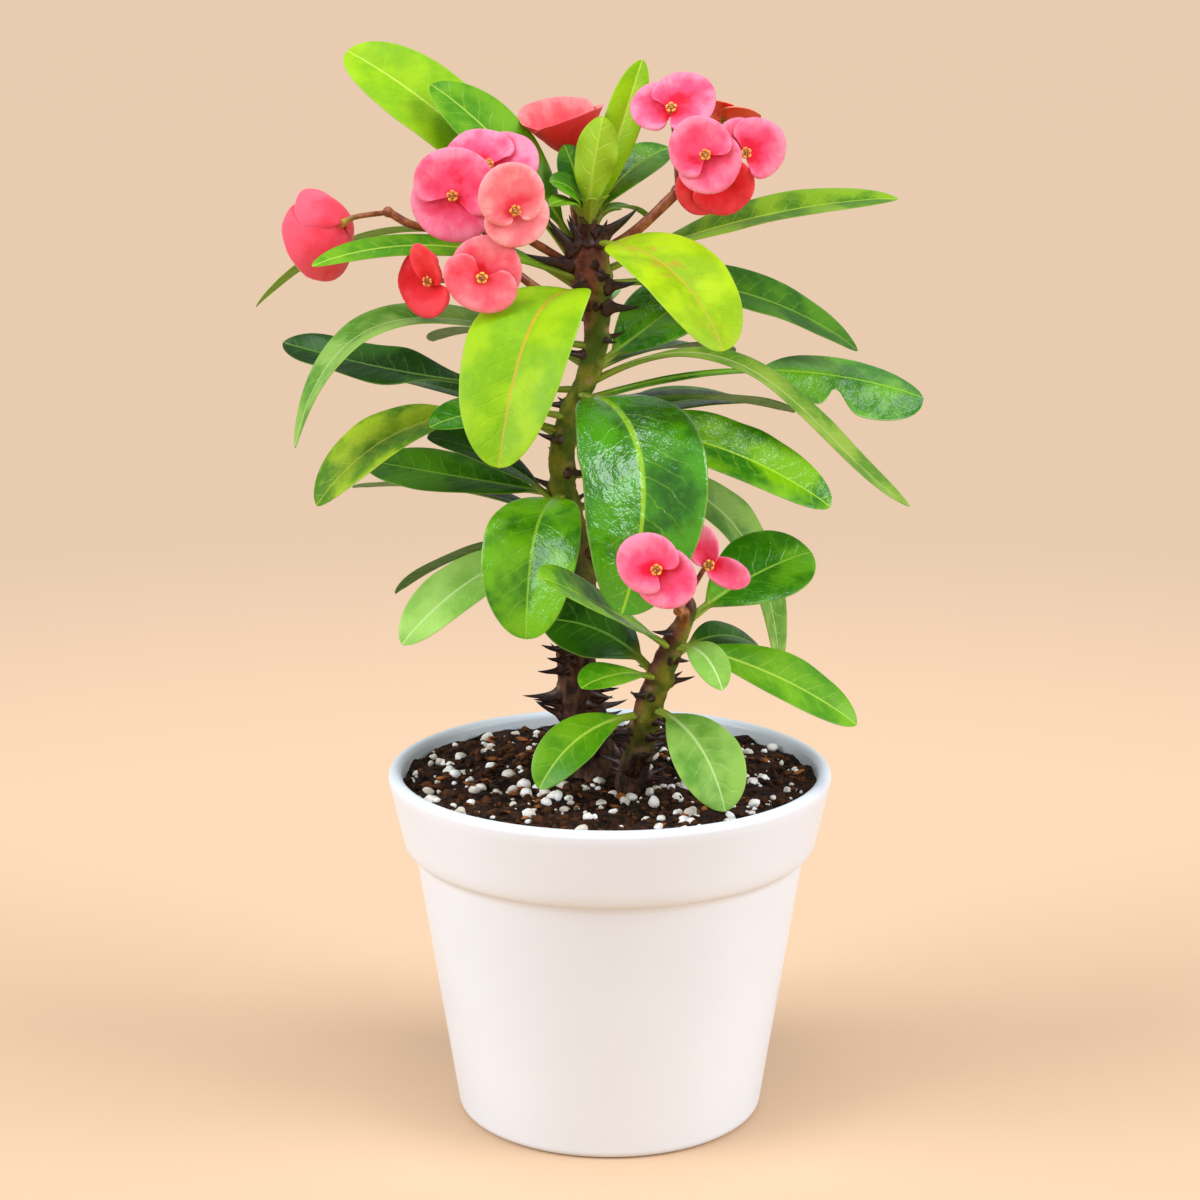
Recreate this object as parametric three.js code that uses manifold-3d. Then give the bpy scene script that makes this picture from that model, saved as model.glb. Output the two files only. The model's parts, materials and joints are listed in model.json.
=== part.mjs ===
// Crown of thorns (Euphorbia milii) growing in a round white pot.
// Millimetres, +Z up. The origin is the middle of the pot's flat base. The plant's show side
// is -Y, and +X is to the right of someone who looks at that side.
//
// Leaves and blooms are set out by where they end: a leaf by the height at which it leaves
// its stem and the place of its tip, a bloom by the place of its cup and the way it faces.

import * as THREE from 'three';
import { mergeVertices } from 'three/addons/utils/BufferGeometryUtils.js';
import Module from 'manifold-3d';

const wasm = await Module();
wasm.setup();

// ---------------------------------------------------------------- driving dimensions

const GAP = 0.3; // clearance where two pieces meet

const POT = {
  height: 104.5,
  rimRadius: 65,
  lipRadius: 2, // half the width of the rounded lip
  bandHeight: 22,
  bandFootRadius: 60.7,
  neckRadius: 57.4, // just under the band
  baseRadius: 45.4,
  edgeRadius: 2.6, // rounding of the bottom edge
  wall: 2.4,
  floor: 3,
  sides: 40,
};
const DRAIN = { count: 6, radius: 4, circle: 27, sides: 8 };

const SOIL = {
  top: 100.5,
  unevenness: 0.9,
  grains: 36,
  smallestGrain: 1.2,
  largestGrain: 2.6,
  raised: 0.25, // how far a grain's middle stands out, as a part of its size
  sides: 30,
};

// A stem is a row of rings: [height, x, y, radius]. It stands upright in its hole in the mix.
const HOLE = { depth: 38, above: 10, sides: 16 };
const STEMS = {
  tall: {
    sides: 10,
    spacing: 5.5, // height between two rings
    rings: [
      [102, -3.8, 5, 7.3],
      [111, -6, 5, 7.0],
      [124, -9, 4.5, 6.6],
      [137, -10, 4, 5.6],
      [160, -9, 3, 4.8],
      [175, -10.5, 2, 4.2],
      [187, -13.5, 1, 3.8],
      [198, -14, 0, 3.6],
      [210, -11, 0, 3.5],
      [219, -6.5, 0, 3.5],
      [230, -3.8, 0, 3.4],
      [240, -4, 0, 4.0],
      [248, -5.5, 0, 6.2],
      [255, -6, 0, 5.6],
      [260, -6, 0, 3.4],
    ],
    thorns: { from: 106, to: 244, step: 4.8, longest: 11, shortest: 6.5 },
  },
  front: {
    sides: 10,
    spacing: 4.5,
    rings: [
      [102, 6.2, -9, 4.6],
      [116, 9, -12, 4.4],
      [129, 12, -15, 4.2],
      [141, 16, -18, 3.9],
      [150, 19.5, -20, 3.4],
      [156, 22, -21, 2.4],
    ],
    thorns: { from: 104, to: 151, step: 3.8, longest: 8.5, shortest: 5.5 },
  },
};

// A thorn is a thin cone with its root in the bark. Pairs stand on a spiral up the stem.
const THORN = { sides: 3, sunk: 1, width: 0.75, widthening: 0.06, pairAngle: 14, clearance: 1.9 };
const GOLDEN_ANGLE = 137.5;

// Long dark thorns round the growing point: [height, azimuth, rise, length] in mm and degrees.
const CROWN_THORNS = [
  [254, -32, 38, 13],
  [256, 205, 46, 11],
  [252, 192, 12, 13],
  [246, -30, 8, 9],
  [240, -28, 2, 10],
  [243, 60, 10, 10],
  [251, 110, 30, 11],
  [249, 150, 12, 10],
];

// Leaves: [name, stem, height on the stem, tip, width, form]. In form, bow and sweep are how
// far the midrib arches up and sideways, skew moves the crest of the arch towards the stem,
// roll and twist turn the blade about its midrib, fold lifts both halves, wave ruffles the
// edges, stalk is the bare part of the midrib, and widest and blunt shape the outline.
const FORM = {
  bow: 8, skew: 0, sweep: 0, roll: 0, twist: 0, fold: 10, wave: 0, stalk: 0.08, widest: 0.6,
  blunt: 0.6, tone: 'green',
};
const LEAVES = [
  [
    'leaf_top_left', 'tall', 255, [-75, 22, 310], 25.5,
    { bow: 5, roll: -38, widest: 0.66, blunt: 0.5, tone: 'young' },
  ],
  ['leaf_behind_blooms', 'tall', 258, [-50.5, 10, 301], 21, { bow: 3.5, roll: -34 }],
  ['leaf_long_right', 'tall', 251, [82, 12, 269], 21, { bow: 4, roll: 14 }],
  [
    'leaf_lime_right', 'tall', 258, [30.5, -38, 232], 27,
    { bow: 8, roll: 14, widest: 0.5, blunt: 0.46, tone: 'young' },
  ],
  ['leaf_upper_right', 'tall', 246, [73, 28, 223.5], 21, { bow: 7, roll: 32, widest: 0.55 }],
  [
    'leaf_lime_front', 'tall', 244.5, [-30, -52, 202.5], 32.5,
    { bow: 15, skew: 0.3, widest: 0.5, blunt: 0.5, tone: 'young' },
  ],
  ['leaf_pale_left', 'tall', 249, [-81, -29, 254], 10.5, { bow: 6, sweep: -8, roll: -30, tone: 'young' }],
  ['leaf_far_left', 'tall', 247, [-102, 14, 238], 15, { bow: 18, roll: 4, tone: 'young' }],

  ['leaf_arch_left', 'tall', 229, [-88, -20, 202.5], 19, { bow: 23, skew: -0.5, roll: -12, widest: 0.5 }],
  [
    'leaf_wavy_left', 'tall', 216, [-96, 26, 226], 18,
    { bow: -3, roll: -4, twist: -30, widest: 0.7, wave: 1.6, tone: 'dark' },
  ],
  ['leaf_olive_left', 'tall', 205, [-83, -14, 185], 25, { bow: 13, roll: -20, stalk: 0.3 }],
  ['leaf_blue_left', 'tall', 209, [-50, -24, 209], 15, { bow: 3, roll: -24 }],
  ['leaf_folded_left', 'tall', 185.5, [-72, 24, 191], 24, { bow: 0, roll: -20, fold: 6 }],
  ['leaf_shaded_left', 'tall', 185, [-52, -6, 203], 20, { bow: 3, roll: -18, tone: 'dark' }],
  ['leaf_back_left_1', 'tall', 203, [-70, 50, 212], 18, { tone: 'dark', bow: 3 }],
  ['leaf_back_left_2', 'tall', 178, [-78, 46, 179], 18, { bow: 4, roll: 6, tone: 'dark' }],
  ['leaf_back_left_3', 'tall', 223, [-54, 60, 222], 22, { bow: 6, tone: 'dark' }],

  ['leaf_pale_low', 'tall', 171, [-59, -20, 146], 18, { bow: 5, roll: -28, tone: 'young' }],
  ['leaf_edge_low', 'tall', 173, [-63, 10, 154], 17, { bow: 4, roll: 12, tone: 'dark' }],
  [
    'leaf_broad_low', 'tall', 185.5, [-23.5, -34, 151], 28,
    { bow: 12, skew: 0.3, widest: 0.5, blunt: 0.5, tone: 'dark' },
  ],
  [
    'leaf_broad_front', 'tall', 215, [3, -46, 161], 36,
    { bow: 18, skew: 0.4, sweep: 7.5, widest: 0.46, blunt: 0.5, tone: 'dark' },
  ],

  [
    'leaf_gloss_right', 'tall', 206, [62, -16, 185], 21.5,
    { bow: 6, roll: 34, widest: 0.55, blunt: 0.5, tone: 'dark' },
  ],
  ['leaf_arch_right', 'tall', 220, [86, -2, 182.5], 17, { bow: 16, skew: 0.8, roll: 14 }],
  [
    'leaf_spoon_right', 'tall', 213.5, [93, 30, 209], 24,
    { bow: 8, roll: 38, fold: -16, stalk: 0.5, blunt: 0.45 },
  ],
  ['leaf_under_arch', 'tall', 210, [55, 37, 203.5], 22, { bow: 4, roll: -4, tone: 'dark' }],
  ['leaf_upright_right', 'tall', 224, [27, 20, 243.5], 23, { bow: 0, roll: 30 }],
  ['leaf_back_right_1', 'tall', 222, [36, 52, 219], 22, { bow: 4, tone: 'dark' }],
  ['leaf_back_right_2', 'tall', 200, [42, 51, 204.5], 20, { bow: 5, roll: 10 }],
  ['leaf_back_right_3', 'tall', 181, [41, 44, 162], 18, { bow: 13, roll: -6 }],
  ['leaf_hanging_right', 'tall', 191, [51, 24, 126], 20, { bow: 22, skew: 0.1, roll: 46 }],
  ['leaf_low_back_1', 'tall', 168, [14, 56, 152], 22, { bow: 10, tone: 'dark' }],
  ['leaf_low_back_2', 'tall', 233, [-10, 62, 228], 22, { bow: 8 }],

  [
    'leaf_gloss_front', 'front', 147, [-19, -58, 174], 17,
    { bow: 1, roll: -34, widest: 0.66, blunt: 0.5 },
  ],
  ['leaf_dark_front', 'front', 139, [-20, -15, 152], 22, { bow: 4, roll: -44, tone: 'dark' }],
  ['leaf_small_front', 'front', 137, [-8, -40, 138.5], 13, { bow: 2, roll: -16 }],
  ['leaf_soil_left', 'front', 124, [-20, -32, 107], 15.5, { bow: 5, roll: -30 }],
  ['leaf_soil_right', 'front', 126, [32, -44, 104], 20, { bow: 6, roll: 20 }],
  ['leaf_short_front', 'front', 146, [31, -40, 138], 10, { bow: 4, roll: 24 }],
  ['leaf_low_right', 'front', 145, [70, -24, 123.5], 18, { bow: 3, roll: 32, widest: 0.54 }],
  ['leaf_behind_right', 'front', 143, [46, 8, 136], 15, { bow: 5, roll: 20, tone: 'dark' }],
  ['leaf_round_right', 'front', 155, [58, -2, 169], 25, { bow: 2, roll: 36, tone: 'dark' }],
];

// Young leaves that stand up from the growing point: [tip, width, azimuth they belong to, form].
const CROWN_BUD = { base: [-6, 0.5, 260.8], height: 7, radius: 3 };
const CROWN_LEAVES = [
  [[9, 7, 308], 11, 23, { roll: 52, bow: 0, stalk: 0.05 }],
  [[-2, -5, 293], 12, 255, { roll: 10, bow: -2, fold: 24, wave: 1.4 }],
  [[17, 18, 283], 15, 35, { roll: 22, bow: 3 }],
  [[-17, -4, 275], 10, 200, { roll: -38, bow: 3 }],
  [[-17, -9, 268.5], 7, 225, { roll: -20, bow: 3 }],
  [[-13, 6, 284.5], 9, 150, { roll: -60, bow: 1 }],
  [[12, 8, 262.5], 7, 40, { roll: 10, bow: 4 }],
];

// Flower heads. path is the main flower stalk, from inside its stem to where it forks, and each
// bloom has its own thin stalk from the fork: at is the place of its cup, and face is the
// azimuth and rise of the way it looks. bracts has the upper one first: [turn, long, wide,
// shift, fan, cupped]. A bract is an ellipse with half-axes long and wide, whose middle is shift
// from the cup, towards turn (0 is right and 90 up as the bloom is seen from in front). It takes
// up fan degrees to both sides of turn, and folds forward by cupped. bowl folds both forward all
// round.
const PAIR = [[80, 10.6, 11, 2.2, 115, 0], [262, 10.2, 10.6, 1.8, 112, 0]];
const BLOOM = { bracts: PAIR, bowl: 0 };
const HEADS = [
  {
    name: 'left', stem: 'tall', radius: 1.3,
    path: [[-8, -3, 243], [-17, -9, 244], [-27, -13, 251]],
    blooms: [
      {
        at: [-43, -18, 272], face: [262, 8],
        bracts: [[75, 11.2, 12, 2.2, 118, 4], [255, 10.8, 12, 1.6, 118, 0]],
      },
      {
        at: [-26, -29, 269], face: [280, 4],
        bracts: [[104, 8.7, 9.2, 4.2, 150, 4], [292, 8, 9.4, 1.8, 110, 0]],
      },
      {
        at: [-33.5, -11, 279.5], face: [258, 40],
        bracts: [[145, 11, 10.4, 3.2, 115, 0], [28, 11, 10.6, 3.4, 112, 0]],
      },
      {
        at: [-35, -30, 251], face: [275, 5],
        bracts: [[245, 7.8, 10.6, 1.2, 135, 6], [55, 9.6, 10, 2.4, 125, 0]],
      },
      {
        at: [-49.5, -20, 249], face: [240, 4],
        bracts: [[72, 6, 5.4, 4.6, 100, 40], [205, 9, 9.6, 2.2, 140, 0]],
      },
    ],
  },
  {
    name: 'far_left', stem: 'tall', radius: 1.2,
    path: [[-8.5, 0, 250], [-30, 2, 261], [-54.5, -5, 262.8], [-62, -4, 266.5]],
    blooms: [
      {
        at: [-74.5, -11, 264], face: [142, -22], bowl: 34,
        bracts: [[-48, 11.4, 12.4, 2.4, 140, 0], [112, 10, 11, 3, 125, 0]],
      },
    ],
  },
  {
    name: 'top', stem: 'tall', radius: 1.3, path: [[-7, 2, 254], [-10, 7, 266], [-10, 9, 274]],
    blooms: [
      {
        at: [-11.5, 14, 283], face: [228, 72], bowl: 41,
        bracts: [[172, 12, 11.4, 1.8, 118, 0], [352, 11, 11, 1.6, 112, 8]],
      },
    ],
  },
  {
    name: 'right', stem: 'tall', radius: 1.5, path: [[-4, -1.5, 254], [7, -1, 261], [19, 0, 272]],
    blooms: [
      {
        at: [17, -3, 294.5], face: [262, 34], bowl: 4,
        bracts: [[32, 9.6, 10, 3.4, 122, 0], [165, 8.4, 8, 3.4, 90, 0]],
      },
      {
        at: [26, -17, 283], face: [262, 10],
        bracts: [[128, 9, 8.8, 2.2, 128, 4], [302, 8.4, 9.2, 2.2, 118, 0]],
      },
      {
        at: [37, -8, 283], face: [286, 8],
        bracts: [[22, 9.6, 8.8, 2.8, 100, 0], [112, 8.6, 8, 1.6, 84, 0]],
      },
      {
        at: [28.5, -8.5, 276.5], face: [275, -22],
        bracts: [[318, 9.2, 9, 3.4, 108, 0], [236, 9.2, 8.6, 3.2, 106, 0]],
      },
      {
        at: [32, 4, 292.5], face: [75, 66],
        bracts: [[20, 8.4, 8.4, 2, 112, 8], [200, 8.4, 8.4, 2, 112, 8]],
      },
    ],
  },
  {
    name: 'front', stem: 'front', radius: 1.2, path: [[20, -20, 150], [21, -28, 157], [19, -38, 160]],
    blooms: [
      {
        at: [12.3, -61, 176.6], face: [262, 14],
        bracts: [[144, 8.8, 8.4, 2.8, 140, 0], [318, 9.2, 8, 2.6, 124, 0]],
      },
      {
        at: [27, -34, 172], face: [275, 14],
        bracts: [[108, 6.1, 4.7, 5.6, 100, 4], [338, 6.4, 4.3, 5.9, 100, 0]],
      },
    ],
  },
];

const BLADE = { thickness: 0.8, stalkWidth: 2.4, tipWidth: 1.5, steps: 5, offStem: 0.9 };
const BRACT = {
  thickness: 0.7, layer: 0.65, heart: 0.8, steps: 7, rings: 1, dish: 1.2, shoulder: 0.06, corner: 0.22,
};
const CUP = { radius: 1.5, height: 2.6, sides: 6 };
const HEAD_STALK = { sides: 6, stepsPerSpan: 3, fork: 1.25 };
const BLOOM_STALK = { radius: 0.8, sides: 4, steps: 5, straight: 2.5 };
const COLUMNS = [-1, -0.5, 0, 0.5, 1]; // across a blade, from edge to edge

// ---------------------------------------------------------------- materials

function finish(color, roughness) {
  return new THREE.MeshStandardMaterial({ color, roughness, metalness: 0 });
}

const TONES = {
  young: () => finish(0x9fc92a, 0.42),
  green: () => finish(0x4c9a2a, 0.38),
  dark: () => finish(0x256b1d, 0.34),
};

// ---------------------------------------------------------------- small tools

const UP = new THREE.Vector3(0, 0, 1);
const radians = THREE.MathUtils.degToRad;

function vector(list) {
  return new THREE.Vector3(...list);
}

function range(count) {
  return Array.from({ length: count }, (_, i) => i);
}

// A direction from an azimuth (0 is +X, 90 is +Y) and a rise above level, in degrees.
function direction(azimuth, rise) {
  return new THREE.Vector3(
    Math.cos(radians(azimuth)) * Math.cos(radians(rise)),
    Math.sin(radians(azimuth)) * Math.cos(radians(rise)),
    Math.sin(radians(rise)),
  );
}

// A repeatable number between 0 and 1 for the index and the purpose given.
function scatter(index, purpose) {
  const value = Math.sin(index * 12.9898 + purpose * 78.233) * 43758.5453;
  return value - Math.floor(value);
}

function closedGeometry(points, triangles) {
  const geometry = new THREE.BufferGeometry();
  const flat = points.flatMap((point) => [point.x, point.y, point.z]);
  geometry.setAttribute('position', new THREE.Float32BufferAttribute(flat, 3));
  geometry.setIndex(triangles);
  return geometry;
}

function toSolid(geometry) {
  const bare = geometry.clone();
  bare.deleteAttribute('normal');
  bare.deleteAttribute('uv');
  const merged = mergeVertices(bare, 1e-4);
  return new wasm.Manifold(new wasm.Mesh({
    numProp: 3,
    vertProperties: new Float32Array(merged.attributes.position.array),
    triVerts: new Uint32Array(merged.index.array),
  }));
}

function toGeometry(solid) {
  const mesh = solid.getMesh();
  const geometry = new THREE.BufferGeometry();
  geometry.setAttribute('position', new THREE.BufferAttribute(mesh.vertProperties, 3));
  geometry.setIndex(new THREE.BufferAttribute(mesh.triVerts, 1));
  return geometry;
}

function joined(geometries) {
  return toGeometry(geometries.map(toSolid).reduce((whole, next) => whole.add(next)));
}

// The biggest of the separate bodies in a solid: loose scraps are dropped.
function largest(solid) {
  return solid.decompose().sort((one, other) => other.volume() - one.volume())[0];
}

// Rings of equal length joined by a skin, with a flat cap at both ends.
function loft(rings) {
  const count = rings[0].length;
  const triangles = [];
  for (let ring = 0; ring + 1 < rings.length; ring += 1) {
    for (let i = 0; i < count; i += 1) {
      const a = ring * count + i;
      const b = ring * count + ((i + 1) % count);
      triangles.push(a, b, b + count, a, b + count, a + count);
    }
  }
  const last = (rings.length - 1) * count;
  for (let i = 1; i + 1 < count; i += 1) {
    triangles.push(0, i + 1, i, last, last + i, last + i + 1);
  }
  return closedGeometry(rings.flat(), triangles);
}

// A closed sheet from a grid of points on its two faces. Both faces are split alike, so a
// waved sheet never crosses itself. front and back are lists of rows of equal length.
function sheet(front, back) {
  const rows = front.length;
  const columns = front[0].length;
  const under = rows * columns;
  const at = (row, column) => row * columns + column;
  const triangles = [];
  for (let row = 0; row + 1 < rows; row += 1) {
    for (let column = 0; column + 1 < columns; column += 1) {
      const [a, b] = [at(row, column), at(row, column + 1)];
      const [c, d] = [at(row + 1, column + 1), at(row + 1, column)];
      triangles.push(a, c, b, a, d, c);
      triangles.push(under + a, under + b, under + c, under + a, under + c, under + d);
    }
  }
  const rim = [
    ...range(columns - 1).map((i) => at(0, i)),
    ...range(rows - 1).map((i) => at(i, columns - 1)),
    ...range(columns - 1).map((i) => at(rows - 1, columns - 1 - i)),
    ...range(rows - 1).map((i) => at(rows - 1 - i, 0)),
  ];
  rim.forEach((here, i) => {
    const next = rim[(i + 1) % rim.length];
    triangles.push(here, under + next, under + here, here, next, under + next);
  });
  return closedGeometry([...front.flat(), ...back.flat()], triangles);
}

// ---------------------------------------------------------------- pot and potting mix

function lipArc(steps) {
  const centre = new THREE.Vector2(POT.rimRadius - POT.lipRadius, POT.height - POT.lipRadius);
  return range(steps + 1).map((i) => {
    const angle = (Math.PI * i) / steps;
    return new THREE.Vector2(
      centre.x + POT.lipRadius * Math.cos(angle),
      centre.y + POT.lipRadius * Math.sin(angle),
    );
  });
}

const bandFoot = POT.height - POT.bandHeight;
const INSIDE = [
  [POT.baseRadius - POT.wall - 2, POT.floor],
  [POT.baseRadius - POT.wall, POT.floor + 2],
  [POT.neckRadius - POT.wall, bandFoot - 3],
  [POT.bandFootRadius - POT.wall, bandFoot + 2],
  [POT.rimRadius - 2 * POT.lipRadius, POT.height - POT.lipRadius],
];

function insideRadius(height) {
  const above = INSIDE.findIndex(([, level]) => level >= height);
  const [r0, z0] = INSIDE[above - 1];
  const [r1, z1] = INSIDE[above];
  return r0 + ((r1 - r0) * (height - z0)) / (z1 - z0);
}

function upright(lathe) {
  return lathe.rotateX(Math.PI / 2);
}

function pot() {
  const profile = [
    new THREE.Vector2(0, 0),
    new THREE.Vector2(POT.baseRadius - POT.edgeRadius, 0),
    new THREE.Vector2(POT.baseRadius - 0.25 * POT.edgeRadius, 0.3 * POT.edgeRadius),
    new THREE.Vector2(POT.baseRadius, POT.edgeRadius),
    new THREE.Vector2(POT.neckRadius, bandFoot - 2.4),
    new THREE.Vector2(POT.bandFootRadius - 0.9, bandFoot - 1),
    new THREE.Vector2(POT.bandFootRadius, bandFoot + 0.4),
    ...lipArc(4),
    ...INSIDE.slice(0, -1).reverse().map(([radius, z]) => new THREE.Vector2(radius, z)),
    new THREE.Vector2(0, POT.floor),
  ];
  let body = toSolid(upright(new THREE.LatheGeometry(profile, POT.sides)));
  for (let i = 0; i < DRAIN.count; i += 1) {
    const spot = direction((360 * i) / DRAIN.count, 0).multiplyScalar(DRAIN.circle);
    const drill = new THREE.CylinderGeometry(DRAIN.radius, DRAIN.radius, 3 * POT.floor, DRAIN.sides);
    drill.rotateX(Math.PI / 2).translate(spot.x, spot.y, POT.floor / 2);
    body = body.subtract(toSolid(drill));
  }
  return toGeometry(body);
}

function soilHeight(x, y) {
  const broad = Math.sin(0.23 * x + 1.1) * Math.cos(0.19 * y - 0.4);
  const narrow = 0.5 * Math.sin(0.41 * x - 0.37 * y);
  return SOIL.top + SOIL.unevenness * (broad + narrow);
}

// A grain of perlite or bark: a small faceted lump, half sunk in the mix.
function grain(index, reach) {
  const spread = Math.sqrt((index + 0.5) / SOIL.grains) * reach;
  const spot = direction(GOLDEN_ANGLE * index, 0).multiplyScalar(spread);
  const size = SOIL.smallestGrain + (SOIL.largestGrain - SOIL.smallestGrain) * scatter(index, 1) ** 2;
  const lump = new THREE.OctahedronGeometry(size, 0);
  lump.rotateX(scatter(index, 2) * 3).rotateZ(scatter(index, 3) * 3);
  lump.translate(spot.x, spot.y, soilHeight(spot.x, spot.y) + SOIL.raised * size);
  return { lump, spot, size };
}

function soil() {
  const edge = insideRadius(SOIL.top) - GAP;
  const profile = [
    new THREE.Vector2(0, POT.floor + GAP),
    ...INSIDE.slice(0, -1).map(([radius, z]) => new THREE.Vector2(radius - GAP, z + GAP)),
    ...[1, 0.8, 0.6, 0.4, 0.2, 0].map((part) => new THREE.Vector2(edge * part, SOIL.top)),
  ];
  const body = upright(new THREE.LatheGeometry(profile, SOIL.sides));
  const places = body.attributes.position;
  for (let i = 0; i < places.count; i += 1) {
    const fromMiddle = Math.hypot(places.getX(i), places.getY(i));
    if (places.getZ(i) > SOIL.top - 1 && fromMiddle < edge - 1) {
      places.setZ(i, soilHeight(places.getX(i), places.getY(i)));
    }
  }
  let mix = toSolid(body);
  const feet = Object.values(STEMS).map((stem) => stem.rings[0]);
  for (let i = 0; i < SOIL.grains; i += 1) {
    const { lump, spot, size } = grain(i, edge - SOIL.largestGrain - 1);
    const clear = feet.every(([, x, y, r]) => Math.hypot(spot.x - x, spot.y - y) > r + size + 1.5);
    if (clear) mix = mix.add(toSolid(lump));
  }
  for (const [, x, y, r] of feet) {
    const length = HOLE.depth + HOLE.above;
    const hole = new THREE.CylinderGeometry(r + GAP, r + GAP, length, HOLE.sides);
    hole.rotateX(Math.PI / 2).translate(x, y, SOIL.top + HOLE.above - length / 2);
    mix = mix.subtract(toSolid(hole));
  }
  return toGeometry(largest(mix));
}

// ---------------------------------------------------------------- stems and thorns

// The stem's middle and radius at a height, straight between its rings.
function stemAt(stem, height) {
  const rings = STEMS[stem].rings;
  const above = Math.max(1, rings.findIndex(([level]) => level >= height));
  const [low, high] = [rings[above - 1], rings[above]];
  const part = THREE.MathUtils.clamp((height - low[0]) / (high[0] - low[0]), 0, 1);
  const [x, y, radius] = [1, 2, 3].map((i) => low[i] + (high[i] - low[i]) * part);
  return { middle: new THREE.Vector3(x, y, height), radius };
}

function stemBody(stem) {
  const { rings, sides, spacing } = STEMS[stem];
  const top = rings.at(-1)[0];
  const lowest = rings[0][0];
  const foot = SOIL.top - HOLE.depth + GAP;
  const steps = Math.round((top - lowest) / spacing);
  const heights = range(steps + 1).map((i) => lowest + ((top - lowest) * i) / steps);
  const levels = heights.map((height) => ({ ...stemAt(stem, height), z: height }));
  levels.unshift({ ...stemAt(stem, lowest), z: foot });
  return loft(levels.map(({ middle, radius, z }) => (
    range(sides).map((i) => direction((360 * i) / sides, 0).multiplyScalar(radius).add(middle).setZ(z))
  )));
}

function thorn(stem, [height, azimuth, rise, length]) {
  const { middle, radius } = stemAt(stem, height);
  const root = direction(azimuth, 0).multiplyScalar(radius - THORN.sunk).add(middle);
  const way = direction(azimuth, rise);
  const width = THORN.width + THORN.widthening * length;
  const whole = length + THORN.sunk;
  const cone = new THREE.ConeGeometry(width, whole, THORN.sides, 1);
  cone.translate(0, whole / 2, 0);
  cone.applyQuaternion(new THREE.Quaternion().setFromUnitVectors(new THREE.Vector3(0, 1, 0), way));
  cone.translate(root.x, root.y, root.z);
  return { cone, root, tip: way.multiplyScalar(whole).add(root) };
}

// Thorns stand in pairs on a spiral up the stem, a golden angle between one pair and the next.
function thornRows(stem) {
  const { from, to, step, longest, shortest } = STEMS[stem].thorns;
  const rows = [];
  for (let i = 0; from + i * step < to; i += 1) {
    const height = from + i * step;
    for (const side of [-1, 1]) {
      const draw = scatter(i, 5 + side);
      const azimuth = GOLDEN_ANGLE * i + side * (THORN.pairAngle + 8 * draw);
      const rise = -6 + 26 * scatter(i, 9 + side);
      const shrink = (height - from) / (to - from);
      const length = longest + (shortest - longest) * shrink - 2 * draw;
      rows.push([height, azimuth, rise, length]);
    }
  }
  return stem === 'tall' ? [...rows, ...CROWN_THORNS] : rows;
}

// True where a thorn keeps well away from every blade, bract and flower stalk.
function standsClear({ root, tip }, obstacles) {
  return [0.25, 0.5, 0.75, 1].every((part) => {
    const point = root.clone().lerp(tip, part);
    return obstacles.every((obstacle) => obstacle.distanceTo(point) > THORN.clearance);
  });
}

// ---------------------------------------------------------------- leaves

// The frame of a leaf's midrib: a straight chord from base to tip, arched by parabolas.
function midrib(base, tip, azimuth, form) {
  const chord = tip.clone().sub(base);
  const side = direction(azimuth + 90, 0);
  const above = chord.clone().normalize().cross(side).normalize();
  const place = (t) => {
    const arch = 4 * t * (1 - t);
    return base.clone().addScaledVector(chord, t)
      .addScaledVector(above, form.bow * arch * (1 + form.skew * (1 - 2 * t)))
      .addScaledVector(side, form.sweep * arch);
  };
  return (t) => {
    const nearer = Math.max(0, t - 0.01);
    const along = place(Math.min(1, t + 0.01)).sub(place(nearer)).normalize();
    const across = side.clone().addScaledVector(along, -along.dot(side)).normalize();
    const turn = radians(form.roll + form.twist * t);
    return { point: place(t), across: across.applyAxisAngle(along, turn), along };
  };
}

// Half the blade's width at t: a bare stalk, then t^a (1 - t)^b with its widest place set.
function halfWidth(width, form, t) {
  const u = THREE.MathUtils.clamp((t - form.stalk) / (1 - form.stalk), 0, 1);
  const b = form.blunt;
  const a = (b * form.widest) / (1 - form.widest);
  const outline = (u ** a * (1 - u) ** b) / (form.widest ** a * (1 - form.widest) ** b);
  const least = u < 0.5 ? BLADE.stalkWidth : BLADE.tipWidth;
  return Math.max(least, width * outline) / 2;
}

// A point of the blade's middle surface, and the way its upper side faces there.
function bladePoint(rib, width, form, t, s) {
  const { point, across, along } = rib(t);
  const up = along.clone().cross(across).normalize();
  const half = halfWidth(width, form, t);
  const lift = Math.tan(radians(form.fold)) * Math.abs(s) * half;
  const ruffle = form.wave * s * s * Math.sin(2 * Math.PI * (2.5 * t + 0.2 * s));
  point.addScaledVector(across, s * half).addScaledVector(up, lift + ruffle * Math.sin(Math.PI * t));
  return { point, up };
}

function blade(rib, width, form) {
  const parts = range(BLADE.steps + 1).map((i) => Math.sin((Math.PI * i) / (2 * BLADE.steps)));
  const stations = [0, ...parts.map((part) => form.stalk + (1 - form.stalk) * part)];
  const face = (sign) => stations.map((t) => COLUMNS.map((s) => {
    const { point, up } = bladePoint(rib, width, form, t, s);
    const thickness = BLADE.thickness * (1 + 0.9 * (1 - t) ** 4);
    return point.addScaledVector(up, (sign * thickness) / 2);
  }));
  return sheet(face(1), face(-1));
}

function leafParts([name, stem, height, tipPlace, width, choices]) {
  const form = { ...FORM, ...choices };
  const { middle, radius } = stemAt(stem, height);
  const tip = vector(tipPlace);
  const azimuth = THREE.MathUtils.radToDeg(Math.atan2(tip.y - middle.y, tip.x - middle.x));
  const base = direction(azimuth, 0).multiplyScalar(radius + BLADE.offStem).add(middle);
  return { name, width, form, rib: midrib(base, tip, azimuth, form) };
}

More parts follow.
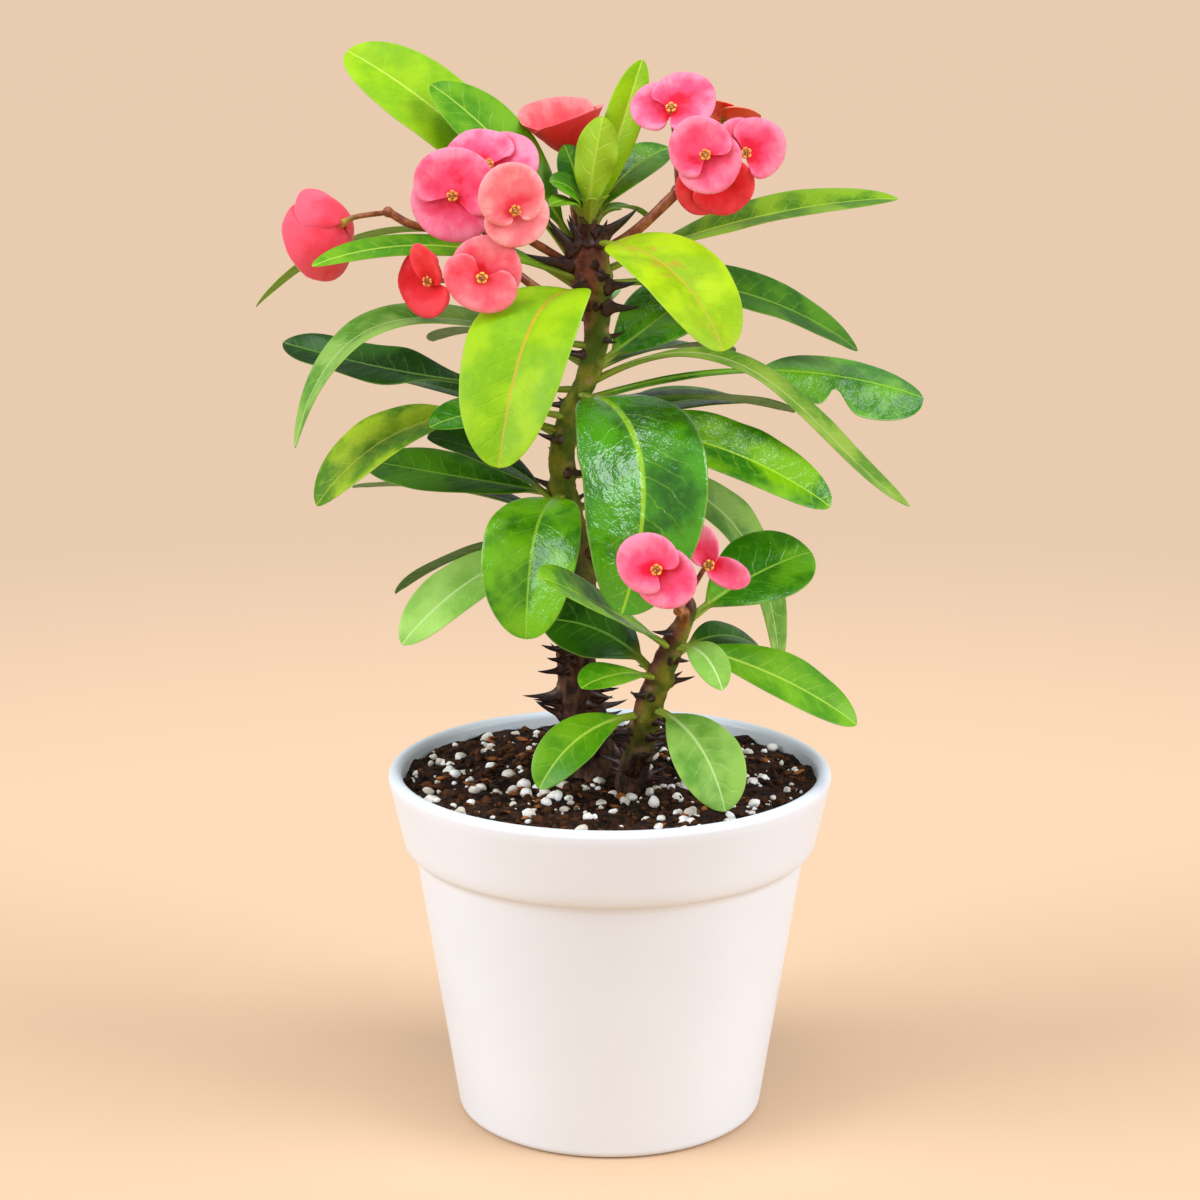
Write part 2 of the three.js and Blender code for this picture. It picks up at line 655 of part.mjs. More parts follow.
function crownLeafParts([tipPlace, width, azimuth, choices]) {
  const form = { ...FORM, ...choices };
  const [x, y, z] = CROWN_BUD.base;
  const base = direction(azimuth, 0).multiplyScalar(0.5 * CROWN_BUD.radius);
  base.add(new THREE.Vector3(x, y, z + 0.55 * CROWN_BUD.height));
  return { width, form, rib: midrib(base, vector(tipPlace), azimuth, form) };
}

// The crown is one growing point: a small bud and the young leaves that rise from it.
function crown() {
  const bud = new THREE.SphereGeometry(1, 8, 6);
  bud.rotateX(Math.PI / 2).scale(CROWN_BUD.radius, CROWN_BUD.radius, CROWN_BUD.height / 2);
  const [x, y, z] = CROWN_BUD.base;
  bud.translate(x, y, z + CROWN_BUD.height / 2);
  const leaves = CROWN_LEAVES.map(crownLeafParts);
  return joined([bud, ...leaves.map(({ rib, width, form }) => blade(rib, width, form))]);
}

// Points spread over a blade, close enough together to keep a thorn out.
function bladeSamples({ rib, width, form }) {
  return range(26).flatMap((i) => range(9).map((j) => (
    bladePoint(rib, width, form, i / 25, j / 4 - 1).point
  )));
}

// ---------------------------------------------------------------- blooms and flower stalks

// The frame of a bloom's bract: out is the way the bloom faces, axis runs along the bract.
function bloomFrame(bloom, which = 0) {
  const [turn] = { ...BLOOM, ...bloom }.bracts[which];
  const out = direction(...bloom.face);
  const level = direction(bloom.face[0] + 90, 0);
  const axis = level.applyAxisAngle(out, radians(turn));
  return { centre: vector(bloom.at), out, axis, across: out.clone().cross(axis) };
}

// How far the rim of an ellipse is from a point that lies shift from its middle, at an angle.
function rimDistance(long, wide, shift, angle) {
  const [c, d] = [Math.cos(radians(angle)), Math.sin(radians(angle))];
  const root = Math.sqrt(Math.max(0, (wide * c) ** 2 + (long ** 2 - shift ** 2) * d ** 2));
  return (wide ** 2 * shift * c + long * wide * root) / ((wide * c) ** 2 + (long * d) ** 2);
}

// A bract is a fan about the cup: angle runs across it and rho out from the heart to the rim.
function bract(bloom, which) {
  const { bracts, bowl } = { ...BLOOM, ...bloom };
  const [, long, wide, shift, fan, cupped] = bracts[which];
  const { centre, out, axis, across } = bloomFrame(bloom, which);
  const place = (angle, part, level) => {
    const side = angle / fan;
    const trim = 1 - BRACT.shoulder * side ** 6 - BRACT.corner * side ** 14;
    const edge = rimDistance(long, wide, shift, angle) * trim;
    const rho = BRACT.heart + (edge - BRACT.heart) * part;
    const ahead = rho * Math.cos(radians(angle));
    const order = 1 - 2 * which;
    const tilt = Math.tan(radians(cupped)) * Math.max(0, ahead) + Math.tan(radians(bowl)) * rho * part;
    const dish = BRACT.dish * part * part;
    return centre.clone()
      .addScaledVector(axis, ahead)
      .addScaledVector(across, rho * Math.sin(radians(angle)))
      .addScaledVector(out, BRACT.layer * order + tilt + dish + level);
  };
  const face = (level) => range(BRACT.steps + 1).map((i) => range(BRACT.rings + 1).map((j) => (
    place(fan * ((2 * i) / BRACT.steps - 1), j / BRACT.rings, level)
  )));
  const half = BRACT.thickness / 2 / Math.cos(radians(cupped));
  return sheet(face(-half), face(half));
}

function bloomBody(bloom) {
  const { centre, out } = bloomFrame(bloom);
  const cup = new THREE.CylinderGeometry(CUP.radius, 0.8 * CUP.radius, CUP.height, CUP.sides);
  cup.applyQuaternion(new THREE.Quaternion().setFromUnitVectors(new THREE.Vector3(0, 1, 0), out));
  cup.translate(...centre.clone().addScaledVector(out, 0.15 * CUP.height).toArray());
  return joined([bract(bloom, 0), bract(bloom, 1), cup]);
}

function bloomSamples(bloom) {
  const { centre, axis, across } = bloomFrame(bloom);
  const reach = { ...BLOOM, ...bloom }.bracts[0][1] + 1;
  const points = [centre];
  for (let turn = 0; turn < 360; turn += 30) {
    for (const part of [0.35, 0.7, 1]) {
      points.push(centre.clone()
        .addScaledVector(axis, part * reach * Math.cos(radians(turn)))
        .addScaledVector(across, part * reach * Math.sin(radians(turn))));
    }
  }
  return points;
}

function stalk(points, radius, sides, steps) {
  const outline = new THREE.Shape(range(sides).map((i) => {
    const angle = (2 * Math.PI * i) / sides;
    return new THREE.Vector2(radius * Math.cos(angle), radius * Math.sin(angle));
  }));
  const path = new THREE.CatmullRomCurve3(points, false, 'centripetal');
  return new THREE.ExtrudeGeometry(outline, { steps, extrudePath: path, bevelEnabled: false });
}

// The thin stalk of a bloom: it leaves the fork and comes up behind the bloom's cup.
function bloomStalkPoints(head, bloom) {
  const { centre, out } = bloomFrame(bloom);
  const end = BRACT.layer + BRACT.thickness / 2 + 0.35 * CUP.height + 2 * GAP;
  return [
    vector(head.path.at(-1)),
    centre.clone().addScaledVector(out, -end - BLOOM_STALK.straight),
    centre.clone().addScaledVector(out, -end),
  ];
}

function headStalks(head) {
  const steps = HEAD_STALK.stepsPerSpan * (head.path.length - 1);
  const main = stalk(head.path.map(vector), head.radius, HEAD_STALK.sides, steps);
  const fork = new THREE.IcosahedronGeometry(head.radius * HEAD_STALK.fork, 0);
  fork.translate(...head.path.at(-1));
  const thin = head.blooms.map((bloom) => (
    stalk(bloomStalkPoints(head, bloom), BLOOM_STALK.radius, BLOOM_STALK.sides, BLOOM_STALK.steps)
  ));
  return [main, fork, ...thin];
}

function stalkSamples(head) {
  const lines = [head.path.map(vector), ...head.blooms.map((bloom) => bloomStalkPoints(head, bloom))];
  return lines.flatMap((line) => new THREE.CatmullRomCurve3(line, false, 'centripetal').getPoints(16));
}

// ---------------------------------------------------------------- the whole plant

const leaves = LEAVES.map(leafParts);
const obstacles = [
  ...leaves.flatMap(bladeSamples),
  ...CROWN_LEAVES.map(crownLeafParts).flatMap(bladeSamples),
  ...HEADS.flatMap((head) => [...head.blooms.flatMap(bloomSamples), ...stalkSamples(head).slice(3)]),
];

function stem(name) {
  const thorns = thornRows(name).map((row) => thorn(name, row));
  const others = Object.keys(STEMS).filter((other) => other !== name);
  const nearStems = others.flatMap((other) => STEMS[other].rings.map(([z]) => stemAt(other, z).middle));
  const kept = thorns.filter((one) => standsClear(one, [...obstacles, ...nearStems]));
  const stalks = HEADS.filter((head) => head.stem === name).flatMap(headStalks);
  return joined([stemBody(name), ...stalks, ...kept.map(({ cone }) => cone)]);
}

const plant = new THREE.Group();

function add(name, geometry, material) {
  const mesh = new THREE.Mesh(geometry, material);
  mesh.name = name;
  plant.add(mesh);
}

add('pot', pot(), finish(0xf2f0ee, 0.4));
add('soil', soil(), finish(0x3a2416, 0.95));
add('stem_tall', stem('tall'), finish(0x5d5a2c, 0.7));
add('stem_front', stem('front'), finish(0x5a4a2a, 0.7));
add('crown_leaves', crown(), TONES.young());
for (const { name, rib, width, form } of leaves) {
  add(name, blade(rib, width, form), TONES[form.tone]());
}
for (const head of HEADS) {
  head.blooms.forEach((bloom, i) => {
    add(`bloom_${head.name}_${i + 1}`, bloomBody(bloom), finish(0xf2547a, 0.5));
  });
}

export default plant;
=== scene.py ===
import json
import math
from functools import partial

import bpy
import numpy as np
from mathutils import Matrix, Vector
from mathutils.bvhtree import BVHTree


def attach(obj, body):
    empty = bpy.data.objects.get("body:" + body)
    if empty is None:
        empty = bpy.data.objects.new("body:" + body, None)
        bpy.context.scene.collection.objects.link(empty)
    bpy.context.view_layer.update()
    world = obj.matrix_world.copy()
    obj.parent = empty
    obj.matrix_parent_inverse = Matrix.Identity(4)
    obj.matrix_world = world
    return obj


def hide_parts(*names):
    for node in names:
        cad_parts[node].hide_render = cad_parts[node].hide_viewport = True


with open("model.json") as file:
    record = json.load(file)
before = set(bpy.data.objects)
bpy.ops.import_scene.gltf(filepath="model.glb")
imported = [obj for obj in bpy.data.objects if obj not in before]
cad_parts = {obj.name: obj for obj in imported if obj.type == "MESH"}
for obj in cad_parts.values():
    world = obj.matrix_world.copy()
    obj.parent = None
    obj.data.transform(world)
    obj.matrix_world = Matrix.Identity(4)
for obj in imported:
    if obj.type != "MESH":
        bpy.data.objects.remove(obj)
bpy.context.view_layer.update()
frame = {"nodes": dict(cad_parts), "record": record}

# A crown of thorns (Euphorbia milii) in a white pot: the finished surfaces round the frame.
# Lengths in this script are millimetres and angles degrees, in the frame's axes: +Z is up,
# -Y is the show side. piece() turns millimetres into Blender's metres.
#
# Every surface is a skin: rings of points carried along a path, each joined to the next.

MM = 0.001

# ---------------------------------------------------------------- sizes: the frame's, and finer ones

POT = dict(height=104.5, rim=65.0, lip=2.0, band=22.0, band_foot=60.7, neck=57.4, base=45.4,
           edge=2.6, wall=2.4, floor=3.0)
DRAIN = dict(count=6, radius=4.0, circle=27.0)
SOIL = dict(top=100.5, unevenness=0.9)
MIX_RELIEF = ((0.7, 6), (0.55, 2.4), (0.35, 1.1))  # heaps, crumbs and grit: (height, size)
GAP = 0.3  # kept between the mix and the pot, and twice that between a bract and its stalk's neck

# A stem is a row of rings: (height, x, y, radius).
STEMS = {
    "tall": dict(
        rings=[
            (102, -3.8, 5, 7.3), (111, -6, 5, 7.0), (124, -9, 4.5, 6.6), (137, -10, 4, 5.6),
            (160, -9, 3, 4.8), (175, -10.5, 2, 4.2), (187, -13.5, 1, 3.8), (198, -14, 0, 3.6),
            (210, -11, 0, 3.5), (219, -6.5, 0, 3.5), (230, -3.8, 0, 3.4), (240, -4, 0, 4.0),
            (248, -5.5, 0, 6.2), (255, -6, 0, 5.6), (260, -6, 0, 3.4),
        ],
        thorns=dict(start=106, stop=244, step=4.8, longest=11, shortest=6.5),
        young=(150, 186), flush=(234, 246),
    ),
    "front": dict(
        rings=[
            (102, 6.2, -9, 4.6), (116, 9, -12, 4.4), (129, 12, -15, 4.2), (141, 16, -18, 3.9),
            (150, 19.5, -20, 3.4), (156, 22, -21, 2.4),
        ],
        thorns=dict(start=104, stop=151, step=3.8, longest=8.5, shortest=5.5),
        young=(108, 126), flush=(134, 156),
    ),
}
THORN = dict(sunk=1.0, width=0.75, widening=0.06, crown_widening=1.35, bend=0.2, pair_angle=14, spread=8)
# Corky bark swells under each pair of thorns and has a leaf scar above it: wide round the stem,
# long up it.
SWELLING = dict(height=0.55, wide=2.6, long=1.6)
SCAR = dict(depth=0.3, wide=1.6, long=0.9, above=2.4)
CORK = ((0.45, 3.2), (0.25, 1.4), (0.12, 0.8))  # its ridges, cracks and grain: (height, size)
DOME = 4.5  # height of a stem's rounded end
STEM_IN_MIX = (62.8, 90)  # heights of a stem's rings inside the mix, where it is plain
GOLDEN_ANGLE = 137.5

# Long dark thorns round the growing point: (height, azimuth, rise, length).
CROWN_THORNS = [
    (254, -32, 38, 13), (256, 205, 46, 11), (252, 192, 12, 13), (246, -30, 8, 9),
    (240, -28, 2, 10), (243, 60, 10, 10), (251, 110, 30, 11), (249, 150, 12, 10),
]

# Short spines that stand close round the bud, beyond those of the frame: the same four numbers.
BUD_SPINES = [
    (259.5, -24, 34, 14), (258, 222, 62, 8), (258.5, 268, 50, 6.5), (258, 312, 56, 7),
    (257, 130, 48, 8), (256, 175, 40, 9), (252, 285, 8, 5), (247, 244, -4, 6), (249, -62, 6, 6),
]

# Leaves: (name, stem, height on the stem, tip, width, form, finish). bow and sweep are how far
# the midrib arches up and sideways, skew moves the crest of the arch towards the stem, roll and
# twist turn the blade about its midrib, fold lifts both halves, wave ruffles the edges, stalk
# is the bare part of the midrib, and widest and blunt shape the outline. notch is a bite out of
# one edge: how far along the blade, which side, how deep and how wide, as parts of the blade.
FORM = dict(bow=8, skew=0, sweep=0, roll=0, twist=0, fold=10, wave=0, stalk=0.08, widest=0.6,
            blunt=0.6, notch=None)
# Leaves with the dark finish are partly painted shade: they sit behind and under others.
LEAVES = [
    ("leaf_top_left", "tall", 255, (-75, 22, 310), 25.5,
     dict(bow=5, roll=-38, widest=0.66, blunt=0.5), "lime"),
    ("leaf_behind_blooms", "tall", 258, (-50.5, 10, 301), 21, dict(bow=3.5, roll=-34), "fresh"),
    ("leaf_long_right", "tall", 251, (82, 12, 269), 21, dict(bow=4, roll=14), "meadow"),
    ("leaf_lime_right", "tall", 258, (30.5, -38, 232), 27,
     dict(bow=8, roll=14, widest=0.5, blunt=0.46), "blotched"),
    ("leaf_upper_right", "tall", 246, (73, 28, 223.5), 21, dict(bow=7, roll=32, widest=0.55), "deep"),
    ("leaf_lime_front", "tall", 244.5, (-30, -52, 202.5), 32.5,
     dict(bow=15, skew=0.3, widest=0.5, blunt=0.5), "golden"),
    ("leaf_pale_left", "tall", 249, (-81, -29, 254), 10.5, dict(bow=6, sweep=-8, roll=-30), "fresh"),
    ("leaf_far_left", "tall", 247, (-102, 14, 238), 15, dict(bow=18, roll=4), "fresh"),

    ("leaf_arch_left", "tall", 229, (-88, -20, 202.5), 19,
     dict(bow=23, skew=-0.5, roll=-12, widest=0.5), "pale"),
    ("leaf_wavy_left", "tall", 216, (-96, 26, 226), 18,
     dict(bow=-3, roll=-4, twist=-30, widest=0.7, wave=1.6), "dark"),
    ("leaf_olive_left", "tall", 205, (-83, -14, 185), 25, dict(bow=13, roll=-20, stalk=0.3), "olive"),
    ("leaf_blue_left", "tall", 209, (-50, -24, 209), 15, dict(bow=3, roll=-24), "green"),
    ("leaf_folded_left", "tall", 185.5, (-72, 24, 191), 24, dict(bow=0, roll=-20, fold=6), "deep"),
    ("leaf_shaded_left", "tall", 185, (-52, -6, 203), 20, dict(bow=3, roll=-18), "dark"),
    ("leaf_back_left_1", "tall", 203, (-70, 50, 212), 18, dict(bow=3), "dark"),
    ("leaf_back_left_2", "tall", 178, (-78, 46, 179), 18, dict(bow=4, roll=6), "dark"),
    ("leaf_back_left_3", "tall", 223, (-54, 60, 222), 22, dict(bow=6), "dark"),

    ("leaf_pale_low", "tall", 171, (-59, -20, 146), 18, dict(bow=5, roll=-28), "palest"),
    ("leaf_edge_low", "tall", 173, (-63, 10, 154), 17, dict(bow=4, roll=12), "dark"),
    ("leaf_broad_low", "tall", 185.5, (-23.5, -34, 151), 28,
     dict(bow=12, skew=0.3, widest=0.5, blunt=0.5), "broad"),
    ("leaf_broad_front", "tall", 215, (3, -46, 161), 36,
     dict(bow=18, skew=0.4, sweep=7.5, widest=0.46, blunt=0.5), "gloss"),

    ("leaf_gloss_right", "tall", 206, (62, -16, 185), 21.5,
     dict(bow=6, roll=34, widest=0.55, blunt=0.5), "bright"),
    ("leaf_arch_right", "tall", 220, (86, -2, 182.5), 17, dict(bow=16, skew=0.8, roll=14), "khaki"),
    ("leaf_spoon_right", "tall", 213.5, (93, 30, 209), 24,
     dict(bow=8, roll=38, fold=-16, stalk=0.5, blunt=0.45, notch=(0.72, -1, 0.62, 0.035)), "green"),
    ("leaf_under_arch", "tall", 210, (55, 37, 203.5), 22, dict(bow=4, roll=-4), "dark"),
    ("leaf_upright_right", "tall", 224, (27, 20, 243.5), 23, dict(bow=0, roll=30), "green"),
    ("leaf_back_right_1", "tall", 222, (36, 52, 219), 22, dict(bow=4), "dark"),
    ("leaf_back_right_2", "tall", 200, (42, 51, 204.5), 20, dict(bow=5, roll=10), "fresh"),
    ("leaf_back_right_3", "tall", 181, (41, 44, 162), 18, dict(bow=13, roll=-6), "olive"),
    ("leaf_hanging_right", "tall", 191, (51, 24, 126), 20, dict(bow=22, skew=0.1, roll=46), "pale"),
    ("leaf_low_back_1", "tall", 168, (14, 56, 152), 22, dict(bow=10), "dark"),
    ("leaf_low_back_2", "tall", 233, (-10, 62, 228), 22, dict(bow=8), "green"),

    ("leaf_gloss_front", "front", 147, (-19, -58, 174), 17,
     dict(bow=1, roll=-34, widest=0.66, blunt=0.5), "bright"),
    ("leaf_dark_front", "front", 139, (-20, -15, 152), 22, dict(bow=4, roll=-44), "dark"),
    ("leaf_small_front", "front", 137, (-8, -40, 138.5), 13, dict(bow=2, roll=-16), "fresh"),
    ("leaf_soil_left", "front", 124, (-20, -32, 107), 15.5, dict(bow=5, roll=-30), "fresh"),
    ("leaf_soil_right", "front", 126, (32, -44, 104), 20, dict(bow=6, roll=20), "pale"),
    ("leaf_short_front", "front", 146, (31, -40, 138), 10, dict(bow=4, roll=24), "palest"),
    ("leaf_low_right", "front", 145, (70, -24, 123.5), 18, dict(bow=3, roll=32, widest=0.54), "fresh"),
    ("leaf_behind_right", "front", 143, (46, 8, 136), 15, dict(bow=5, roll=20), "dark"),
    ("leaf_round_right", "front", 155, (58, -2, 169), 25, dict(bow=2, roll=36), "green"),
]

# Young leaves that stand up from the growing point: (tip, width, azimuth, form, finish).
CROWN_BUD = dict(base=(-6, 0.5, 260.8), height=7, radius=3)
CROWN_SCALES = dict(count=8, length=10, width=4.4, form=dict(bow=1.5, fold=22, widest=0.45))
CROWN_LEAVES = [
    ((9, 7, 308), 11, 23, dict(roll=52, bow=0, stalk=0.05), "lime"),
    ((-2, -5, 293), 12, 255, dict(roll=10, bow=-2, fold=24, wave=1.4), "lime"),
    ((17, 18, 283), 15, 35, dict(roll=22, bow=3), "green"),
    ((-17, -4, 275), 10, 200, dict(roll=-38, bow=3), "green"),
    ((-17, -9, 268.5), 7, 225, dict(roll=-20, bow=3), "fresh"),
    ((-13, 6, 284.5), 9, 150, dict(roll=-60, bow=1), "green"),
    ((12, 8, 262.5), 7, 40, dict(roll=10, bow=4), "fresh"),
]

# Flower heads: path is the main flower stalk up to where it forks. Of each bloom, at is the
# place of its cup, face the azimuth and rise of the way it looks, and tint names its colour.
# bracts has the upper one first: (turn, long, wide, shift, fan, cupped). A bract is an ellipse
# with half-axes long and wide, whose middle is shift from the cup, towards turn (0 is right and
# 90 up as the bloom is seen from in front). It takes up fan degrees to both sides of turn, and
# folds forward by cupped. bowl folds both forward all round.
PAIR = ((80, 10.6, 11, 2.2, 115, 0), (262, 10.2, 10.6, 1.8, 112, 0))
BLOOM = dict(bracts=PAIR, bowl=0, tint="rose")
HEADS = [
    dict(name="left", stem="tall", radius=1.3,
         path=[(-8, -3, 243), (-17, -9, 244), (-27, -13, 251)],
         blooms=[
             dict(at=(-43, -18, 272), face=(262, 8),
                  bracts=((75, 11.2, 12, 2.2, 118, 4), (255, 10.8, 12, 1.6, 118, 0))),
             dict(at=(-26, -29, 269), face=(280, 4), tint="salmon",
                  bracts=((104, 8.7, 9.2, 4.2, 150, 4), (292, 8, 9.4, 1.8, 110, 0))),
             dict(at=(-33.5, -11, 279.5), face=(258, 40),
                  bracts=((145, 11, 10.4, 3.2, 115, 0), (28, 11, 10.6, 3.4, 112, 0))),
             dict(at=(-35, -30, 251), face=(275, 5), tint="coral",
                  bracts=((245, 7.8, 10.6, 1.2, 135, 6), (55, 9.6, 10, 2.4, 125, 0))),
             # tinted red as painted shade: this bloom hangs in the shade of the others
             dict(at=(-49.5, -20, 249), face=(240, 4), tint="red",
                  bracts=((72, 6, 5.4, 4.6, 100, 40), (205, 9, 9.6, 2.2, 140, 0))),
         ]),
    dict(name="far_left", stem="tall", radius=1.2,
         path=[(-8.5, 0, 250), (-30, 2, 261), (-54.5, -5, 262.8), (-62, -4, 266.5)],
         blooms=[
             dict(at=(-74.5, -11, 264), face=(142, -22), bowl=34, tint="blush",
                  bracts=((-48, 11.4, 12.4, 2.4, 140, 0), (112, 10, 11, 3, 125, 0))),
         ]),
    dict(name="top", stem="tall", radius=1.3,
         path=[(-7, 2, 254), (-10, 7, 266), (-10, 9, 274)],
         blooms=[
             dict(at=(-11.5, 14, 283), face=(228, 72), bowl=41, tint="crimson_back",
                  bracts=((172, 12, 11.4, 1.8, 118, 0), (352, 11, 11, 1.6, 112, 8))),
         ]),
    dict(name="right", stem="tall", radius=1.5,
         path=[(-4, -1.5, 254), (7, -1, 261), (19, 0, 272)],
         blooms=[
             dict(at=(17, -3, 294.5), face=(262, 34), bowl=4,
                  bracts=((32, 9.6, 10, 3.4, 122, 0), (165, 8.4, 8, 3.4, 90, 0))),
             dict(at=(26, -17, 283), face=(262, 10),
                  bracts=((128, 9, 8.8, 2.2, 128, 4), (302, 8.4, 9.2, 2.2, 118, 0))),
             dict(at=(37, -8, 283), face=(286, 8),
                  bracts=((22, 9.6, 8.8, 2.8, 100, 0), (112, 8.6, 8, 1.6, 84, 0))),
             # tinted red as painted shade: this bloom hangs in the shade of the bloom above it
             dict(at=(28.5, -8.5, 276.5), face=(275, -22), tint="red",
                  bracts=((318, 9.2, 9, 3.4, 108, 0), (236, 9.2, 8.6, 3.2, 106, 0))),
             dict(at=(32, 4, 292.5), face=(75, 66), tint="scarlet",
                  bracts=((20, 8.4, 8.4, 2, 112, 8), (200, 8.4, 8.4, 2, 112, 8))),
         ]),
    dict(name="front", stem="front", radius=1.2,
         path=[(20, -20, 150), (21, -28, 157), (19, -38, 160)],
         blooms=[
             dict(at=(12.3, -61, 176.6), face=(262, 14),
                  bracts=((144, 8.8, 8.4, 2.8, 140, 0), (318, 9.2, 8, 2.6, 124, 0))),
             dict(at=(27, -34, 172), face=(275, 14),
                  bracts=((108, 6.1, 4.7, 5.6, 100, 4), (338, 6.4, 4.3, 5.9, 100, 0))),
         ]),
]

# A blade's groove runs along the middle of its upper side, and its keel under that, both rib wide.
# wobble moves its rim in and out, as a part of its width, and drift moves it up and down.
BLADE = dict(thickness=0.8, stalk_width=2.4, tip_width=0.6, off_stem=0.9, groove=0.3, keel=0.45, rib=1.0,
             wobble=0.035, drift=0.7, rows=84, around=44)
VEIN = 5.0  # mm between side veins where they leave the midrib
VEIN_LEAN = 0.75  # how far a side vein gains on the tip for each mm outwards
# How far a leaf of each finish rises between its side veins.
QUILT = dict(gloss=0.3, bright=0.2, broad=0.22, dark=0.12, green=0.12, deep=0.12, olive=0.12)
PLAIN_QUILT = 0.08  # the same for leaves of the other finishes
# A bract starts at its heart. It dishes forward, and its rim rolls back and waves.
BRACT = dict(thickness=0.5, layer=0.65, heart=1.0, dish=1.2, roll=1.0, wave=0.75, ripple=0.35, crease=0.6,
             crease_width=1.4, uneven=0.03, corner=0.22, rows=48, around=26)
# A cup's foot and mouth are parts of its height from the bloom's middle. gland and stamen are
# half-lengths, and TUFT has the five stamens' places over the mouth.
CUP = dict(radius=1.5, height=2.6, foot=-0.35, mouth=0.62, gland=(0.7, 0.45, 0.35), stamen=0.3)
TUFT = [(0, 0, 0.5), (0.45, 0.2, 0.4), (-0.3, 0.4, 0.45), (-0.25, -0.4, 0.4), (0.35, -0.4, 0.5)]
STALK = dict(radius=0.8, straight=2.5)


# ---------------------------------------------------------------- vectors, chance and curves

def unit(v):
    """v at length 1."""
    return v / np.linalg.norm(v, axis=-1, keepdims=True)


def direction(azimuth, rise=0.0):
    """A unit vector from an azimuth (0 is +X, 90 is +Y) and a rise above level, in degrees."""
    azimuth, rise = np.broadcast_arrays(np.radians(azimuth), np.radians(rise))
    return np.stack([np.cos(azimuth) * np.cos(rise), np.sin(azimuth) * np.cos(rise), np.sin(rise)], -1)


def turned(v, axis, angle):
    """v turned about the unit axis by angle in degrees: v cos + (axis x v) sin + axis (axis . v)
    (1 - cos)."""
    angle = np.radians(angle)[..., None]
    along = (axis * v).sum(-1, keepdims=True) * axis
    return v * np.cos(angle) + np.cross(axis, v) * np.sin(angle) + along * (1 - np.cos(angle))


def scatter(index, purpose):
    """A repeatable number from 0 to 1 for each index and purpose: the fraction of a large sine."""
    value = np.sin(np.asarray(index) * 12.9898 + purpose * 78.233) * 43758.5453
    return value - np.floor(value)


def lumps(points, size, seed=0):
    """Smooth chance relief from -1 to 1 over points: random values at the corners of cubes of
    that size in mm, blended by 3u^2 - 2u^3 along each axis."""
    place = np.asarray(points) / size + 100.37 * (seed + 1)
    cell = np.floor(place)
    u = place - cell
    u = u * u * (3 - 2 * u)
    total = 0
    for corner in np.ndindex(2, 2, 2):
        corner = np.array(corner)
        key = ((cell + corner) * [127.1, 311.7, 74.7]).sum(-1)
        value = 2 * scatter(key, 0.37) - 1
        total = total + value * np.prod(np.where(corner == 1, u, 1 - u), -1)
    return total


def smooth_path(points, steps):
    """A centripetal Catmull-Rom curve through the points, with that many steps in each span:
    the knots are spaced by the square root of the distance between points."""
    p = np.array(points, float)
    p = np.vstack([2 * p[0] - p[1], p, 2 * p[-1] - p[-2]])
    gap = np.sqrt(np.linalg.norm(np.diff(p, axis=0), axis=1))[:, None]
    leg = np.diff(p, axis=0) / gap
    slope = leg[:-1] - (p[2:] - p[:-2]) / (gap[:-1] + gap[1:]) + leg[1:]
    u = np.linspace(0, 1, steps, endpoint=False)[:, None]
    start, end, m0, m1 = p[1:-2, None], p[2:-1, None], slope[:-1, None], slope[1:, None]
    span = gap[1:-1, None]
    curve = ((2 * u**3 - 3 * u**2 + 1) * start + (u**3 - 2 * u**2 + u) * span * m0
             + (3 * u**2 - 2 * u**3) * end + (u**3 - u**2) * span * m1)
    return np.vstack([curve.reshape(-1, p.shape[1]), p[-2]])


def bell(*distances):
    """A bell curve over distances square to each other: 1 in the middle, 1/e at a distance of 1."""
    return np.exp(-sum(each ** 2 for each in distances))


def round_turn(count):
    """Angles in radians, evenly spaced round a ring."""
    return np.linspace(0, 2 * np.pi, count, endpoint=False)


def upper_side(turn):
    """1 over the upper half of a lens, 0 under the lower half, and between them near its edges."""
    return np.clip(0.5 + 3 * np.sin(turn), 0, 1)


# ---------------------------------------------------------------- meshes

def linked(name, data):
    """A new object in the scene, for a mesh, a light or a camera."""
    made = bpy.data.objects.new(name, data)
    bpy.context.scene.collection.objects.link(made)
    return made


def skin(rings, **layers):
    """The closed skin of one body or of many alike. rings has the shape (bodies,) rings, points
    round a ring, 3. Neighbouring rings are joined all round and each end is closed by a fan to
    its middle. Each layer is a number for every point, kept as a mesh attribute."""
    rings = np.asarray(rings, float)
    if rings.ndim == 3:
        rings = rings[None]
    bodies, rows, around = rings.shape[:3]
    middles = rings[:, [0, -1]].mean(2)
    points = np.concatenate([rings.reshape(bodies, -1, 3), middles], 1)
    index = np.arange(rows * around).reshape(rows, around)
    beside = np.roll(index, -1, 1)
    quads = np.stack([index[:-1], beside[:-1], beside[1:], index[1:]], -1).reshape(-1, 4)
    first = np.full(around, rows * around)
    fans = [np.stack([first, beside[0], index[0]], -1), np.stack([first + 1, index[-1], beside[-1]], -1)]
    triangles = np.concatenate(fans)
    corners = points[0][np.concatenate([quads[:, :3], quads[:, [0, 2, 3]], triangles])]
    if (corners[:, 0] * np.cross(corners[:, 1], corners[:, 2])).sum() < 0:
        quads, triangles = quads[:, ::-1], triangles[:, ::-1]
    shift = np.arange(bodies)[:, None, None] * points.shape[1]
    kept = {}
    for name, values in layers.items():
        values = np.broadcast_to(values, rings.shape[:3])
        ends = values[:, [0, -1]].mean(2)
        kept[name] = np.concatenate([values.reshape(bodies, -1), ends], 1).ravel()
    return dict(points=points.reshape(-1, 3), quads=(quads + shift).reshape(-1, 4),
                triangles=(triangles + shift).reshape(-1, 3), layers=kept)


